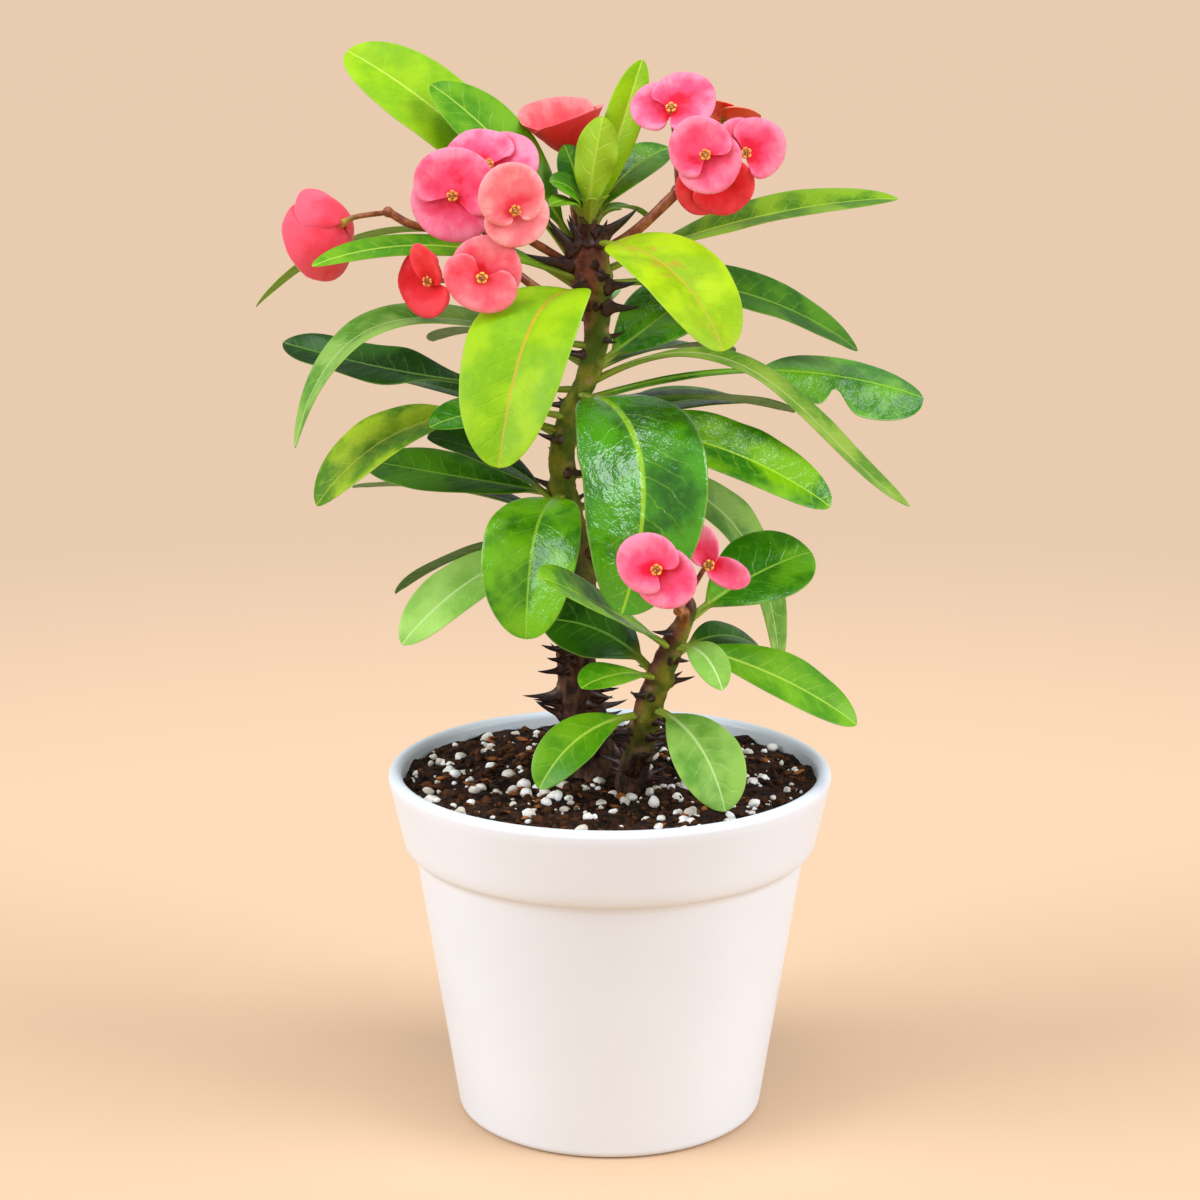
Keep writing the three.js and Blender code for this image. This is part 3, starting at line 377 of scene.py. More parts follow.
def solid(name, skins):
    """A mesh object from (skin, material) pairs."""
    starts = np.cumsum([0] + [len(each["points"]) for each, _ in skins])
    quads = np.concatenate([each["quads"] + start for (each, _), start in zip(skins, starts)])
    triangles = np.concatenate([each["triangles"] + start for (each, _), start in zip(skins, starts)])
    mesh = bpy.data.meshes.new(name)
    mesh.vertices.add(starts[-1])
    points = np.concatenate([each["points"] for each, _ in skins]) * MM
    mesh.vertices.foreach_set("co", points.astype(np.float32).ravel())
    corners = np.concatenate([quads.ravel(), triangles.ravel()])
    mesh.loops.add(len(corners))
    mesh.loops.foreach_set("vertex_index", corners.astype(np.int32))
    mesh.polygons.add(len(quads) + len(triangles))
    first = np.concatenate([4 * np.arange(len(quads)), 4 * len(quads) + 3 * np.arange(len(triangles))])
    mesh.polygons.foreach_set("loop_start", first.astype(np.int32))
    materials = list(dict.fromkeys(material for _, material in skins))
    chosen = [np.full(len(each[kind]), materials.index(material))
              for kind in ("quads", "triangles") for each, material in skins]
    for material in materials:
        mesh.materials.append(material)
    mesh.polygons.foreach_set("material_index", np.concatenate(chosen).astype(np.int32))
    mesh.polygons.foreach_set("use_smooth", np.ones(len(mesh.polygons), bool))
    mesh.update(calc_edges=True)
    for layer in sorted({key for each, _ in skins for key in each["layers"]}):
        values = [each["layers"].get(layer, np.zeros(len(each["points"]))) for each, _ in skins]
        attribute = mesh.attributes.new(layer, "FLOAT", "POINT")
        attribute.data.foreach_set("value", np.concatenate(values).astype(np.float32))
    return linked(name, mesh)


def ridden(made, slot, *nodes):
    """Sets a finished object on the plant's one body, in place of the frame's nodes."""
    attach(made, "root")
    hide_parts(*nodes)
    return made


def piece(name, skins, slot, nodes):
    """A solid, set on the plant in place of the frame's nodes."""
    return ridden(solid(name, skins), slot, *nodes)


def pierce(body, drills):
    """Cuts the drills out of the body, and removes them."""
    cut = body.modifiers.new("holes", "BOOLEAN")
    cut.operation, cut.solver, cut.object = "DIFFERENCE", "EXACT", drills
    graph = bpy.context.evaluated_depsgraph_get()
    cut_mesh = bpy.data.meshes.new_from_object(body.evaluated_get(graph))
    body.modifiers.clear()
    body.data = cut_mesh
    bpy.data.objects.remove(drills)


def lathe(profile, around):
    """Rings round the upright axis for a profile of (radius, height) pairs."""
    profile = np.array(profile, float)
    turn = round_turn(around)
    radius, height = profile[:, :1], profile[:, 1:]
    return np.stack([radius * np.cos(turn), radius * np.sin(turn), height + 0 * turn], -1)


def tube(path, radius, around):
    """Rings round a path, square to it, each with its own radius and kept from twisting by one
    fixed sideways direction."""
    path = np.asarray(path, float)
    along = unit(np.gradient(path, axis=0))
    whole = path[-1] - path[0]
    side = np.eye(3)[np.argmin(np.abs(whole))]
    across = unit(np.cross(along, side))
    other = np.cross(along, across)
    turn = round_turn(around)[None, :, None]
    spread = across[:, None] * np.cos(turn) + other[:, None] * np.sin(turn)
    return path[:, None] + spread * np.broadcast_to(radius, len(path))[:, None, None]


# ---------------------------------------------------------------- finishes

def linear(colour):
    """An sRGB hex colour as linear red, green, blue and alpha."""
    parts = [int(colour[i:i + 2], 16) / 255 for i in (1, 3, 5)]
    return [c / 12.92 if c <= 0.04045 else ((c + 0.055) / 1.055) ** 2.4 for c in parts] + [1.0]


def feed(pairs):
    """Fills the inputs of nodes from (input, value) pairs: a number or a hex colour is set, and
    another node's output is linked."""
    for socket, value in pairs:
        if isinstance(value, bpy.types.NodeSocket):
            socket.id_data.links.new(value, socket)
        else:
            socket.default_value = linear(value) if isinstance(value, str) else value


# The setting that the second word of a node's kind chooses.
MODES = dict(Math="operation", VectorMath="operation", Mix="data_type", Attribute="attribute_name",
             MapRange="interpolation_type", TexVoronoi="feature")
MIX = "Mix RGBA"  # how far, colour at 0, colour at 1
STEP = "MapRange SMOOTHSTEP"  # value, where the step starts and ends, level before and after it
TIMES = "Math MULTIPLY"  # one number, another
TIMES_PLUS = "Math MULTIPLY_ADD"  # the same two, and what is added to their product


def add_node(tree, kind, *inputs, out=None, **named):
    """Adds one node, such as "Math ADD", with its inputs in order or by name. Gives its output
    called out, or else its first one."""
    kind, *mode = kind.split()
    made = tree.nodes.new("ShaderNode" + kind)
    for choice in mode:
        setattr(made, MODES[kind], choice)
    feed(zip([each for each in made.inputs if each.enabled], inputs))
    feed((made.inputs[name], value) for name, value in named.items())
    return made.outputs[out] if out else next(each for each in made.outputs if each.enabled)


def finish(name):
    """A new material, and the function that adds a node to it."""
    material = bpy.data.materials.new(name)
    material.use_nodes = True
    return material, partial(add_node, material.node_tree)


def dressed(material, **sockets):
    """The material, with the named sockets of its surface shader set or linked. An underscore
    stands for a space in their names."""
    shader = material.node_tree.nodes["Principled BSDF"]
    feed((shader.inputs[name.replace("_", " ")], value) for name, value in sockets.items())
    return material


def speckle(put, size, detail=3.0, stretch=(1, 1, 1), rough=0.5):
    """Noise over the piece, with lumps of about that size in mm."""
    place = put("Mapping", put("TexCoord", out="Object"), Scale=stretch)
    return put("TexNoise", Vector=place, Scale=1 / (size * MM), Detail=detail, Roughness=rough)


# Sizes in mm of what shows on a leaf. The cells and pores of a real one are finer than the eye
# sees from here, so both are drawn as coarse as they need to show.
ON_LEAF = dict(patch=14, mottle=2.2, blotch=5, speck=0.9, pucker=4.5, vein_wander=6, cell=1.5, pore=0.6)


def waxy_leaf(name, low, high, rib, under, rough, veins=0.2, coat=0.0, blotches=0.0, specks=0.0,
              crinkle=0.0, ribbed=1.0):
    """Living leaf with a skin of plant wax, which gives patchy green a soft gloss: a pale midrib
    with finer side veins, a light rim, and a paler, duller underside. veins is how pale the side
    veins are, coat how wet the wax looks, blotches are tan, specks small and brown, crinkle
    puckers the blade so that it breaks up the gloss, and ribbed widens the midrib."""
    material, put = finish(name)
    carried = ("from_rib", "from_stem", "along", "across", "upper")
    from_rib, from_stem, along, across, upper = (put("Attribute " + each, out="Fac") for each in carried)
    off, aside = put("Math ABSOLUTE", from_rib), put("Math ABSOLUTE", across)
    mottle = speckle(put, ON_LEAF["mottle"], 4)
    colour = put(MIX, put(STEP, speckle(put, ON_LEAF["patch"]), 0.38, 0.62), low, high)
    colour = put(MIX, put(STEP, mottle, 0.45, 0.75, 0, 0.35), colour, high)
    if blotches:
        spread = put(STEP, speckle(put, ON_LEAF["blotch"], 4, rough=0.6), 0.5, 0.7, 0, blotches)
        near = put(TIMES, put(STEP, off, 1.0, 7.0, 1, 0.1), put(STEP, along, 0.5, 0.9, 1, 0.25))
        colour = put(MIX, put(TIMES, spread, near), colour, "#C08A2C")

    # side veins leave the midrib every VEIN mm and lean forward; the two sides take turns
    turn = put(TIMES, put("Math GREATER_THAN", from_rib, 0.0), 0.5)
    lean = put(TIMES_PLUS, off, -VEIN_LEAN / VEIN, turn)
    phase = put(TIMES_PLUS, from_stem, 1 / VEIN, lean)
    phase = put(TIMES_PLUS, speckle(put, ON_LEAF["vein_wander"], 2), 0.9, phase)
    to_vein = put("Math PINGPONG", phase, 0.5)
    side_vein = put(TIMES, put(STEP, to_vein, 0.0, 0.09, 1, 0), put(STEP, aside, 0.35, 0.9, 1, 0))
    rib_width = put(TIMES_PLUS, along, -0.6, 0.85)
    midrib = put(STEP, put("Math DIVIDE", off, rib_width), 0.35 * ribbed, ribbed, 1, 0)
    colour = put(MIX, put(TIMES, side_vein, veins), colour, rib)
    colour = put(MIX, put(TIMES, midrib, 0.75), colour, rib)
    colour = put(MIX, put(STEP, aside, 0.955, 1.0, 0, 0.35), colour, "#B9CC5A")
    if specks:
        spots = put(STEP, speckle(put, ON_LEAF["speck"], 2), 0.66, 0.72, 0, specks)
        colour = put(MIX, spots, colour, "#5A3A18")
    ribs = put(TIMES, put("Math MAXIMUM", midrib, side_vein), 0.5)
    below = put(MIX, ribs, put(MIX, put(STEP, mottle, 0.4, 0.7, 0, 0.5), under, high), rib)
    stalk = put(STEP, from_stem, 1.5, 8.0, 0.85, 0)
    colour = put(MIX, stalk, put(MIX, upper, below, colour), "#93A233")

    cells = put("TexVoronoi DISTANCE_TO_EDGE", Vector=put("TexCoord", out="Object"),
                Scale=1 / (ON_LEAF["cell"] * MM))
    height = put(TIMES_PLUS, side_vein, -1.2, put(TIMES, put(STEP, cells, 0.0, 0.16), 0.5))
    height = put(TIMES_PLUS, speckle(put, ON_LEAF["pore"]), 0.8, height)
    if crinkle:
        height = put(TIMES_PLUS, speckle(put, ON_LEAF["pucker"]), 16.0 * crinkle, height)
    bump = put("Bump", Strength=0.6, Distance=0.09 * MM, Height=height)
    wet = dict(Coat_Normal=bump) if crinkle else {}
    gloss = put(STEP, mottle, 0.3, 0.7, rough - 0.05, rough + 0.07)
    dull = put(STEP, upper, 0.0, 1.0, 0.62 - rough, 0.0)
    return dressed(material, Base_Color=colour, Roughness=put("Math ADD", gloss, dull), Normal=bump,
                   Specular_IOR_Level=0.16, Coat_Weight=coat, Coat_Roughness=0.12, **wet)


# Sizes in mm of what shows on a bract, with its velvet of cells drawn coarse enough to show.
ON_BRACT = dict(cloud=6, cell=0.5)


def bract_velvet(name, heart, middle, rim, back, through=0.7):
    """Petal-like bract with a skin of tiny domed cells, which gives the eye a soft velvet: deep
    colour round the heart, the bract's own deeper red and also painted shade where the bracts
    overlap and fold, fine veins that run outwards, a lighter rim and a deeper back, where
    through of the front's colour shows."""
    material, put = finish(name)
    part, fan, front = (put("Attribute " + each, out="Fac") for each in ("part", "fan", "front"))
    polar = put("CombineXYZ", put(TIMES, fan, 22.0), put(TIMES, part, 1.6))
    streaks = put("TexNoise", Vector=polar, Scale=1.0, Detail=3.0)
    cloud = speckle(put, ON_BRACT["cloud"])
    reach = put(TIMES_PLUS, cloud, 1.5, put(TIMES_PLUS, part, 0.8, -0.7))
    # the heart colour is partly painted shade: darker near the cup, where the bracts overlap and shade
    # falls between them
    colour = put(MIX, put(STEP, reach, 0.0, 0.45), heart, middle)
    colour = put(MIX, put(STEP, reach, 0.4, 0.95), colour, rim)
    colour = put(MIX, put(STEP, streaks, 0.5, 0.72, 0, 0.2), colour, heart)
    behind = put(MIX, put(STEP, reach, 0.2, 0.8, 0, through), back, middle)
    height = put(TIMES_PLUS, streaks, 1.0, speckle(put, ON_BRACT["cell"], 2))
    return dressed(material, Base_Color=put(MIX, front, behind, colour),
                   Roughness=put(STEP, cloud, 0.3, 0.7, 0.5, 0.62),
                   Normal=put("Bump", Strength=0.5, Distance=0.08 * MM, Height=height),
                   Sheen_Weight=0.05, Sheen_Roughness=0.5, Specular_IOR_Level=0.25,
                   Subsurface_Weight=0.3, Subsurface_Scale=0.0015, Subsurface_Radius=(1.0, 0.3, 0.35))


def two_tone(name, low, high, size, rough, bump=0.0, by=None, deep=None, **constants):
    """A finish that wanders between two colours over lumps of that size in mm, which stand bump
    mm high. by names an attribute that turns it to a third, deep colour."""
    material, put = finish(name)
    grain, fine = speckle(put, size, 4), speckle(put, size / 4)
    colour = put(MIX, put(STEP, grain, 0.35, 0.65), low, high)
    if by:
        colour = put(MIX, put("Attribute " + by, out="Fac"), colour, deep)
    strength, tall = (0.7, bump) if bump else (0.2, 0.02)
    relief = put("Bump", Strength=strength, Distance=tall * MM, Height=put(TIMES_PLUS, grain, 2.0, fine))
    roughness = put(STEP, fine, 0.3, 0.7, rough - 0.06, rough + 0.06)
    return dressed(material, Base_Color=colour, Roughness=roughness, Normal=relief, **constants)


def corky_bark(name):
    """Corky stem skin, dry and cracked, so that it shows no gloss: purple-brown and rough where it
    is old, olive green where it is young, and flushed with red-brown at the growing top. Leaf
    scars are pale tan."""
    material, put = finish(name)
    young, flush, scar = (put("Attribute " + each, out="Fac") for each in ("young", "flush", "scar"))
    grain, patches = speckle(put, 3.0, 5, (1, 1, 0.45), 0.6), speckle(put, 7.0)
    old = put(MIX, put(STEP, grain, 0.35, 0.7), "#24140C", "#6A4630")
    green = put(MIX, put(STEP, patches, 0.4, 0.62), "#4A640A", "#868620")
    flushed = put(MIX, put(STEP, patches, 0.35, 0.65), "#4A1A0E", "#7C4630")
    colour = put(MIX, flush, put(MIX, young, old, green), flushed)
    colour = put(MIX, put(TIMES, scar, 0.7), colour, "#A8865A")
    height = put(TIMES_PLUS, grain, 2.5, speckle(put, 0.7))
    return dressed(material, Base_Color=colour, Roughness=put(STEP, flush, 0.0, 1.0, 0.78, 0.4),
                   Normal=put("Bump", Strength=0.7, Distance=0.4 * MM, Height=height),
                   Specular_IOR_Level=0.25)


# Leaves of one plant differ with age and light: (darker green, lighter green, ribs, underside,
# roughness, what else sets them apart). The dark tone is painted shade in part: besides the deep
# green of an old leaf, it darkens the leaves that sit behind and under others.
LEAF_TONES = {
    "lime": ("#7EB206", "#9CC80A", "#CFE25A", "#9CC42E", 0.42, dict(veins=0.12)),
    "golden": ("#7AAE07", "#9AC409", "#D89A34", "#9CCB30", 0.42, dict(veins=0.06)),
    "blotched": ("#8AB203", "#ACCD0A", "#C2A63A", "#A6CB30", 0.42, dict(veins=0.1, blotches=0.7)),
    "fresh": ("#488A08", "#70AA12", "#B4D44C", "#84B434", 0.36, dict(coat=0.1)),
    "meadow": ("#447A03", "#82AC0A", "#BCD84A", "#8CB434", 0.36, {}),
    "green": ("#307804", "#66AC10", "#A4D048", "#74A634", 0.33, dict(coat=0.4, crinkle=0.7)),
    "deep": ("#285E00", "#4C8402", "#8CB83A", "#6C9A30", 0.38, {}),
    "pale": ("#548A26", "#88B24C", "#BAD686", "#88B450", 0.4, {}),
    "palest": ("#82B646", "#A4D264", "#CCE69A", "#9CC868", 0.44, dict(veins=0.1)),
    "khaki": ("#588818", "#8CAC38", "#C0CC70", "#8CA84A", 0.42, {}),
    "bright": ("#2C7402", "#78B404", "#B0DA30", "#64A02C", 0.32, dict(veins=0.25, coat=0.5, crinkle=0.7)),
    "broad": ("#327C02", "#74BC08", "#A0D03A", "#64A02C", 0.31, dict(veins=0.25, coat=0.5, crinkle=0.7)),
    "gloss": ("#246601", "#4A9C04", "#A8DC30", "#549228", 0.26,
              dict(veins=0.22, coat=1.0, crinkle=1.2, ribbed=2.0)),
    # partly painted shade: deep green, darkened further for leaves that sit in the shade of others
    "dark": ("#173E02", "#306606", "#78A63A", "#4E882C", 0.4, dict(coat=0.1)),
    "olive": ("#4C7F03", "#A0BE1C", "#B9C84A", "#8CA634", 0.42, dict(specks=0.6)),
}
LEAF_FINISHES = {
    tone: waxy_leaf("leaf_wax_" + tone, *row, **more) for tone, (*row, more) in LEAF_TONES.items()
}

# Bracts deepen and fade with age: (heart, middle, rim, back, how much of the front shows there).
# The red tint is painted shade: the deeper red of blooms that hang in the shade of others.
BRACT_TINTS = {
    "rose": ("#EA0434", "#F85078", "#FF8CA6", "#E8142C", 0.7),
    "blush": ("#EE2A44", "#FA6478", "#FF9CA6", "#F03C50", 0.7),
    "salmon": ("#F0344C", "#FA7880", "#FFA6A4", "#E2303F", 0.7),
    "coral": ("#EA1426", "#F85464", "#FF8890", "#E0142A", 0.7),
    "crimson_back": ("#E4142C", "#F4545C", "#FE8C8A", "#D00A12", 0.3),
    # painted shade: a deeper red for blooms that hang in the shade of the ones above them
    "red": ("#CE000A", "#EC1628", "#FA4854", "#DE0A0C", 0.7),
    "scarlet": ("#E8301C", "#FF6E44", "#FF9C7C", "#FF5430", 0.7),
}
BRACT_FINISHES = {tint: bract_velvet("bract_velvet_" + tint, *row) for tint, row in BRACT_TINTS.items()}

DULL = dict(Specular_IOR_Level=0.2)
# Polypropylene, injection moulded in a satin mould: an even white with a broad, faint highlight.
# Its faint blue tint is painted light: it cancels the warm light that the floor throws back onto it.
POLYPROPYLENE = two_tone("moulded_polypropylene_white", "#DFE4E9", "#E2E7EC", 60, 0.36, Coat_Weight=0.05)
# Moist peat, milled: nearly black, with brown crumbs and no shine.
PEAT = two_tone("peat_moist", "#100702", "#3C210F", 3.0, 0.9, bump=0.6, **DULL)
CRUMB = two_tone("peat_crumbs", "#160A03", "#543014", 5.0, 0.88, bump=0.4, **DULL)
# Pine bark, chipped: flat slivers from dark brown to the tan of fresh wood.
CHIP = two_tone("pine_bark_chips", "#2A1408", "#A4602A", 6.0, 0.8, bump=0.3, **DULL)
# Perlite, volcanic glass blown up by heat: chalk-white lumps, stained a little by the peat.
PERLITE = two_tone("perlite_expanded", "#D6C8B2", "#FDFAF4", 5.0, 0.85, bump=0.35)
BARK = corky_bark("corky_stem_bark")
# Horn of a thorn, grown and dried: dark red-brown with a dull shine, nearly black at the point.
THORN_HORN = two_tone("thorn_horn", "#2A110A", "#4A2618", 1.5, 0.45, bump=0.1, by="point", deep="#180A06")
# Skin of a flower stalk, thin and smooth: red-brown, and green where it is young.
STALK_SKIN = two_tone("flower_stalk_skin", "#7A3416", "#A86432", 2.5, 0.4, by="young", deep="#A9A83A")
# The true flowers: a leathery tan cup, nectar glands wet with syrup, and stamens dusted with pollen.
CUP_SKIN = two_tone("bloom_cup_skin", "#B4641E", "#D89A3C", 1.0, 0.4)
GLAND = two_tone("nectar_gland_wax", "#DE6A18", "#F8C050", 0.7, 0.25, Coat_Weight=0.4)
STAMEN = two_tone("stamen_pollen", "#8A2412", "#E8B060", 0.5, 0.6)
# Scales of the leaf bud, dry and papery: brown over dull green.
BUD_SKIN = two_tone("bud_scale_skin", "#3A2410", "#6A6A22", 2.0, 0.5)


# ---------------------------------------------------------------- pot and potting mix

BAND_FOOT = POT["height"] - POT["band"]
# The pot's hollow from its floor up: (radius, height).
INSIDE = [
    (POT["base"] - POT["wall"] - 2, POT["floor"]), (POT["base"] - POT["wall"], POT["floor"] + 2),
    (POT["neck"] - POT["wall"], BAND_FOOT - 3), (POT["band_foot"] - POT["wall"], BAND_FOOT + 2),
    (POT["rim"] - 2 * POT["lip"], POT["height"] - POT["lip"]),
]
# The pot's outside from the top of the wall to the foot of the band.
UNDER_BAND = [
    (POT["neck"] - 0.3, BAND_FOOT - 4.4), (POT["neck"], BAND_FOOT - 2.4),
    (POT["band_foot"] - 0.9, BAND_FOOT - 1), (POT["band_foot"], BAND_FOOT + 0.4),
]
CENTRE = 3.0  # radius of the innermost ring of a round piece, which a fan closes


def inside_radius(height):
    """The radius of the pot's hollow at a height."""
    return np.interp(height, [z for _, z in INSIDE], [radius for radius, _ in INSIDE])


def arc(centre, radius, start, stop, steps=8):
    """Points of a circle in the (radius, height) plane, from one angle to another."""
    angle = np.radians(np.linspace(start, stop, steps + 1))
    return np.array(centre) + radius * np.stack([np.cos(angle), np.sin(angle)], -1)


def finely(profile, spacing):
    """The same outline, with points no further apart than the spacing."""
    steps = np.ceil(np.linalg.norm(np.diff(profile, axis=0), axis=1) / spacing).astype(int)
    legs = zip(profile[:-1], profile[1:], steps)
    return np.vstack([*(np.linspace(a, b, count, endpoint=False) for a, b, count in legs), profile[-1]])


def pot(spacing=3, around=192):
    """A tapered wall under a broad rim band with a rolled lip: one outline turned round the axis.
    Six round drain holes go through its floor."""
    edge, lip = POT["edge"], POT["lip"]
    profile = np.vstack([
        (CENTRE, 0), arc((POT["base"] - edge, edge), edge, -90, 0),
        UNDER_BAND[0], smooth_path(UNDER_BAND[1:], steps=6),
        arc((POT["rim"] - lip, POT["height"] - lip), lip, 0, 180, steps=12),
        INSIDE[-2::-1], (CENTRE, POT["floor"]),
    ])
    body = solid("pot_shell", [(skin(lathe(finely(profile, spacing), around)), POLYPROPYLENE)])
    spots = DRAIN["circle"] * direction(np.arange(DRAIN["count"]) * 360 / DRAIN["count"])
    drill = lathe([(DRAIN["radius"], z) for z in (-POT["floor"], 2 * POT["floor"])], around=40)
    holes = solid("drill", [(skin(drill + spots[:, None, None]), POLYPROPYLENE)])
    pierce(body, holes)
    return ridden(body, "pot_plastic", "pot")


def soil_height(x, y):
    """The mean level of the mix, as in the frame: its top and two crossing sets of long waves."""
    broad = np.sin(0.23 * x + 1.1) * np.cos(0.19 * y - 0.4)
    return SOIL["top"] + SOIL["unevenness"] * (broad + 0.5 * np.sin(0.41 * x - 0.37 * y))


def mix_relief(places):
    """How far the mix stands above its mean level: the sum of the reliefs of MIX_RELIEF."""
    flat = places * [1, 1, 0]
    return sum(tall * lumps(flat, size, seed) for seed, (tall, size) in enumerate(MIX_RELIEF, 1))


def mix_body(rows=96, around=200, pressed=0.2):
    """The mix fills the pot and is pressed into its wall at the top. Its top is a disc raised by
    soil_height and mix_relief."""
    edge = inside_radius(SOIL["top"]) + pressed
    top = [(radius, SOIL["top"]) for radius in np.linspace(1, edge, rows)]
    side = [(radius - GAP, z + GAP) for radius, z in INSIDE[-2::-1]]
    rings = lathe([*top, *side, (CENTRE, POT["floor"] + GAP)], around)
    above = rings[:len(top)]
    above[..., 2] = soil_height(above[..., 0], above[..., 1]) + mix_relief(above)
    return skin(rings)


def axes(azimuth, tilt):
    """Three unit vectors square to each other for each grain: its length, width and height."""
    length = direction(azimuth, tilt)
    width = unit(np.cross([0, 0, 1], length))
    return np.stack([length, width, np.cross(length, width)], -2)


LEVEL = axes(np.zeros(1), np.zeros(1))  # of one grain that lies along the frame's own axes


def grains(places, sizes, ways, bumpy=0.25, rows=5, around=8):
    """Lumpy balls: unit balls moved in and out by chance relief, then stretched by their sizes
    along their own axes and set in their places."""
    down = np.linspace(0, np.pi, rows + 2)[1:-1, None]
    turn = round_turn(around)
    ball = np.stack([np.sin(down) * np.cos(turn), np.sin(down) * np.sin(turn), np.cos(down) + 0 * turn], -1)
    number = np.arange(len(places))[:, None, None, None]
    ball = ball * (1 + bumpy * lumps(ball + 3.1 * number, 0.9)[..., None])
    return skin(np.einsum("nraj,njk->nrak", ball * sizes[:, None, None], ways) + places[:, None, None])


def scattered(count, purpose, smallest, largest, rarity, clear=0.8, margin=0.8):
    """Places and half-lengths for grains on the mix, chosen by chance but clear of the stems and
    margin from the pot, and two chance numbers for each. rarity makes large ones rare."""
    number = np.arange(count)
    size = smallest + (largest - smallest) * scatter(number, purpose) ** rarity
    reach = (inside_radius(SOIL["top"]) - margin - size) * np.sqrt(scatter(number, purpose + 1))
    place = reach[:, None] * direction(360 * scatter(number, purpose + 2))
    feet = np.array([stem["rings"][0] for stem in STEMS.values()])
    apart = np.hypot(place[:, None, 0] - feet[:, 1], place[:, None, 1] - feet[:, 2])
    free = (apart > feet[:, 3] + clear * size[:, None]).all(1)
    place, size = place[free], size[free]
    place[:, 2] = soil_height(place[:, 0], place[:, 1]) + mix_relief(place)
    number = np.arange(len(size))
    return place, size, scatter(number, purpose + 3), scatter(number, purpose + 4)


def perlite():
    """White grains, most of them small, that lie at all angles."""
    place, size, one, other = scattered(count=390, purpose=20, smallest=0.4, largest=2.1, rarity=1.9)
    place[:, 2] += (0.6 * one - 0.1) * size
    sizes = size[:, None] * np.stack([1 + 0.2 * one, 0.85 + 0.2 * other, 0.75 + 0.2 * one], -1)
    return grains(place, sizes, axes(360 * other, 60 * one - 30), bumpy=0.4, rows=7, around=10)


def crumbs():
    """Crumbs of peat, a little longer than wide."""
    place, size, one, other = scattered(count=1500, purpose=30, smallest=0.35, largest=1.3, rarity=1.5)
    place[:, 2] += (0.7 * one - 0.2) * size
    sizes = size[:, None] * np.stack([1.1 + 0.5 * one, 0.9 + 0 * one, 0.7 + 0.3 * other], -1)
    return grains(place, sizes, axes(360 * other, 50 * one - 25), bumpy=0.4)


def chips():
    """Slivers of bark that lie flat or lean a little."""
    place, size, one, other = scattered(count=170, purpose=40, smallest=0.7, largest=3.0, rarity=2.0)
    place[:, 2] += 0.25 + 0.35 * one
    sizes = size[:, None] * np.stack([1 + 0.2 * one, 0.35 + 0.25 * other, 0.16 + 0.1 * one], -1)
    return grains(place, sizes, axes(360 * other, 36 * one - 18), bumpy=0.3)


# ---------------------------------------------------------------- stems, thorns and stalks

def stem_at(name, height):
    """The middle and the radius of a stem at a height, between its rings."""
    rings = np.array(STEMS[name]["rings"], float)
    x, y, radius = (np.interp(height, rings[:, 0], rings[:, i]) for i in (1, 2, 3))
    return np.stack([x, y, height + 0 * x], -1), radius


def thorn_rows(name):
    """Thorns in pairs on a spiral, a golden angle from one pair to the next: (height, azimuth,
    rise, length) each."""
    thorns = STEMS[name]["thorns"]
    start, stop = thorns["start"], thorns["stop"]
    pair = np.arange(math.ceil((stop - start) / thorns["step"]))[:, None]
    side = np.array([-1, 1])
    draw = scatter(pair, 5 + side)
    height = start + pair * thorns["step"] + 0 * side
    azimuth = GOLDEN_ANGLE * pair + side * (THORN["pair_angle"] + THORN["spread"] * draw)
    rise = -6 + 26 * scatter(pair, 9 + side)
    shrink = (height - start) / (stop - start)
    length = thorns["longest"] + (thorns["shortest"] - thorns["longest"]) * shrink - 2 * draw
    return np.stack([height, azimuth, rise, length], -1).reshape(-1, 4)


def young_thorn_rows(name):
    """Smaller thorns between the frame's own: two more spirals, a third of a turn on each."""
    rows = thorn_rows(name)
    more = [rows + [STEMS[name]["thorns"]["step"] * k / 3, 120 * k + 20, 4 * k, 0] for k in (1, 2)]
    rows = np.vstack(more)
    rows[:, 3] *= 0.45 + 0.35 * scatter(np.arange(len(rows)), 11)
    return rows[rows[:, 0] < STEMS[name]["young"][0] + 12]


def corners_and_faces(node):
    """The corners in metres and the triangles of a node of the frame."""
    mesh = frame["nodes"][node].data
    corners, faces = np.empty(3 * len(mesh.vertices), np.float32), np.empty(len(mesh.loops), np.int32)
    mesh.vertices.foreach_get("co", corners)
    mesh.loops.foreach_get("vertex_index", faces)
    return corners.reshape(-1, 3), faces.reshape(-1, 3)


def in_frame(name, tips):
    """True for each tip that is a corner of the stem's solid in the frame."""
    corners, _ = corners_and_faces("stem_" + name)
    return np.linalg.norm(tips[:, None] - corners / MM, axis=-1).min(1) < 0.1


def clear_of_leaves(root, way, whole, ahead=1.5, beside=1.8):
    """True for each thorn that meets no leaf or bloom of the frame, neither on its way to ahead of
    its point nor beside that."""
    nodes = [name for name in frame["nodes"] if name.startswith(("leaf", "bloom", "crown"))]
    trees = [BVHTree.FromPolygons(*(part.tolist() for part in corners_and_faces(node))) for node in nodes]
    free = []
    for start, along, long in zip(root * MM, way, (whole.ravel() + ahead) * MM):
        point = Vector(start + along * long)
        crossed = any(tree.ray_cast(Vector(start), Vector(along), long)[0] for tree in trees)
        free.append(not crossed and not any(tree.find_nearest(point, beside * MM)[0] for tree in trees))
    return np.array(free)


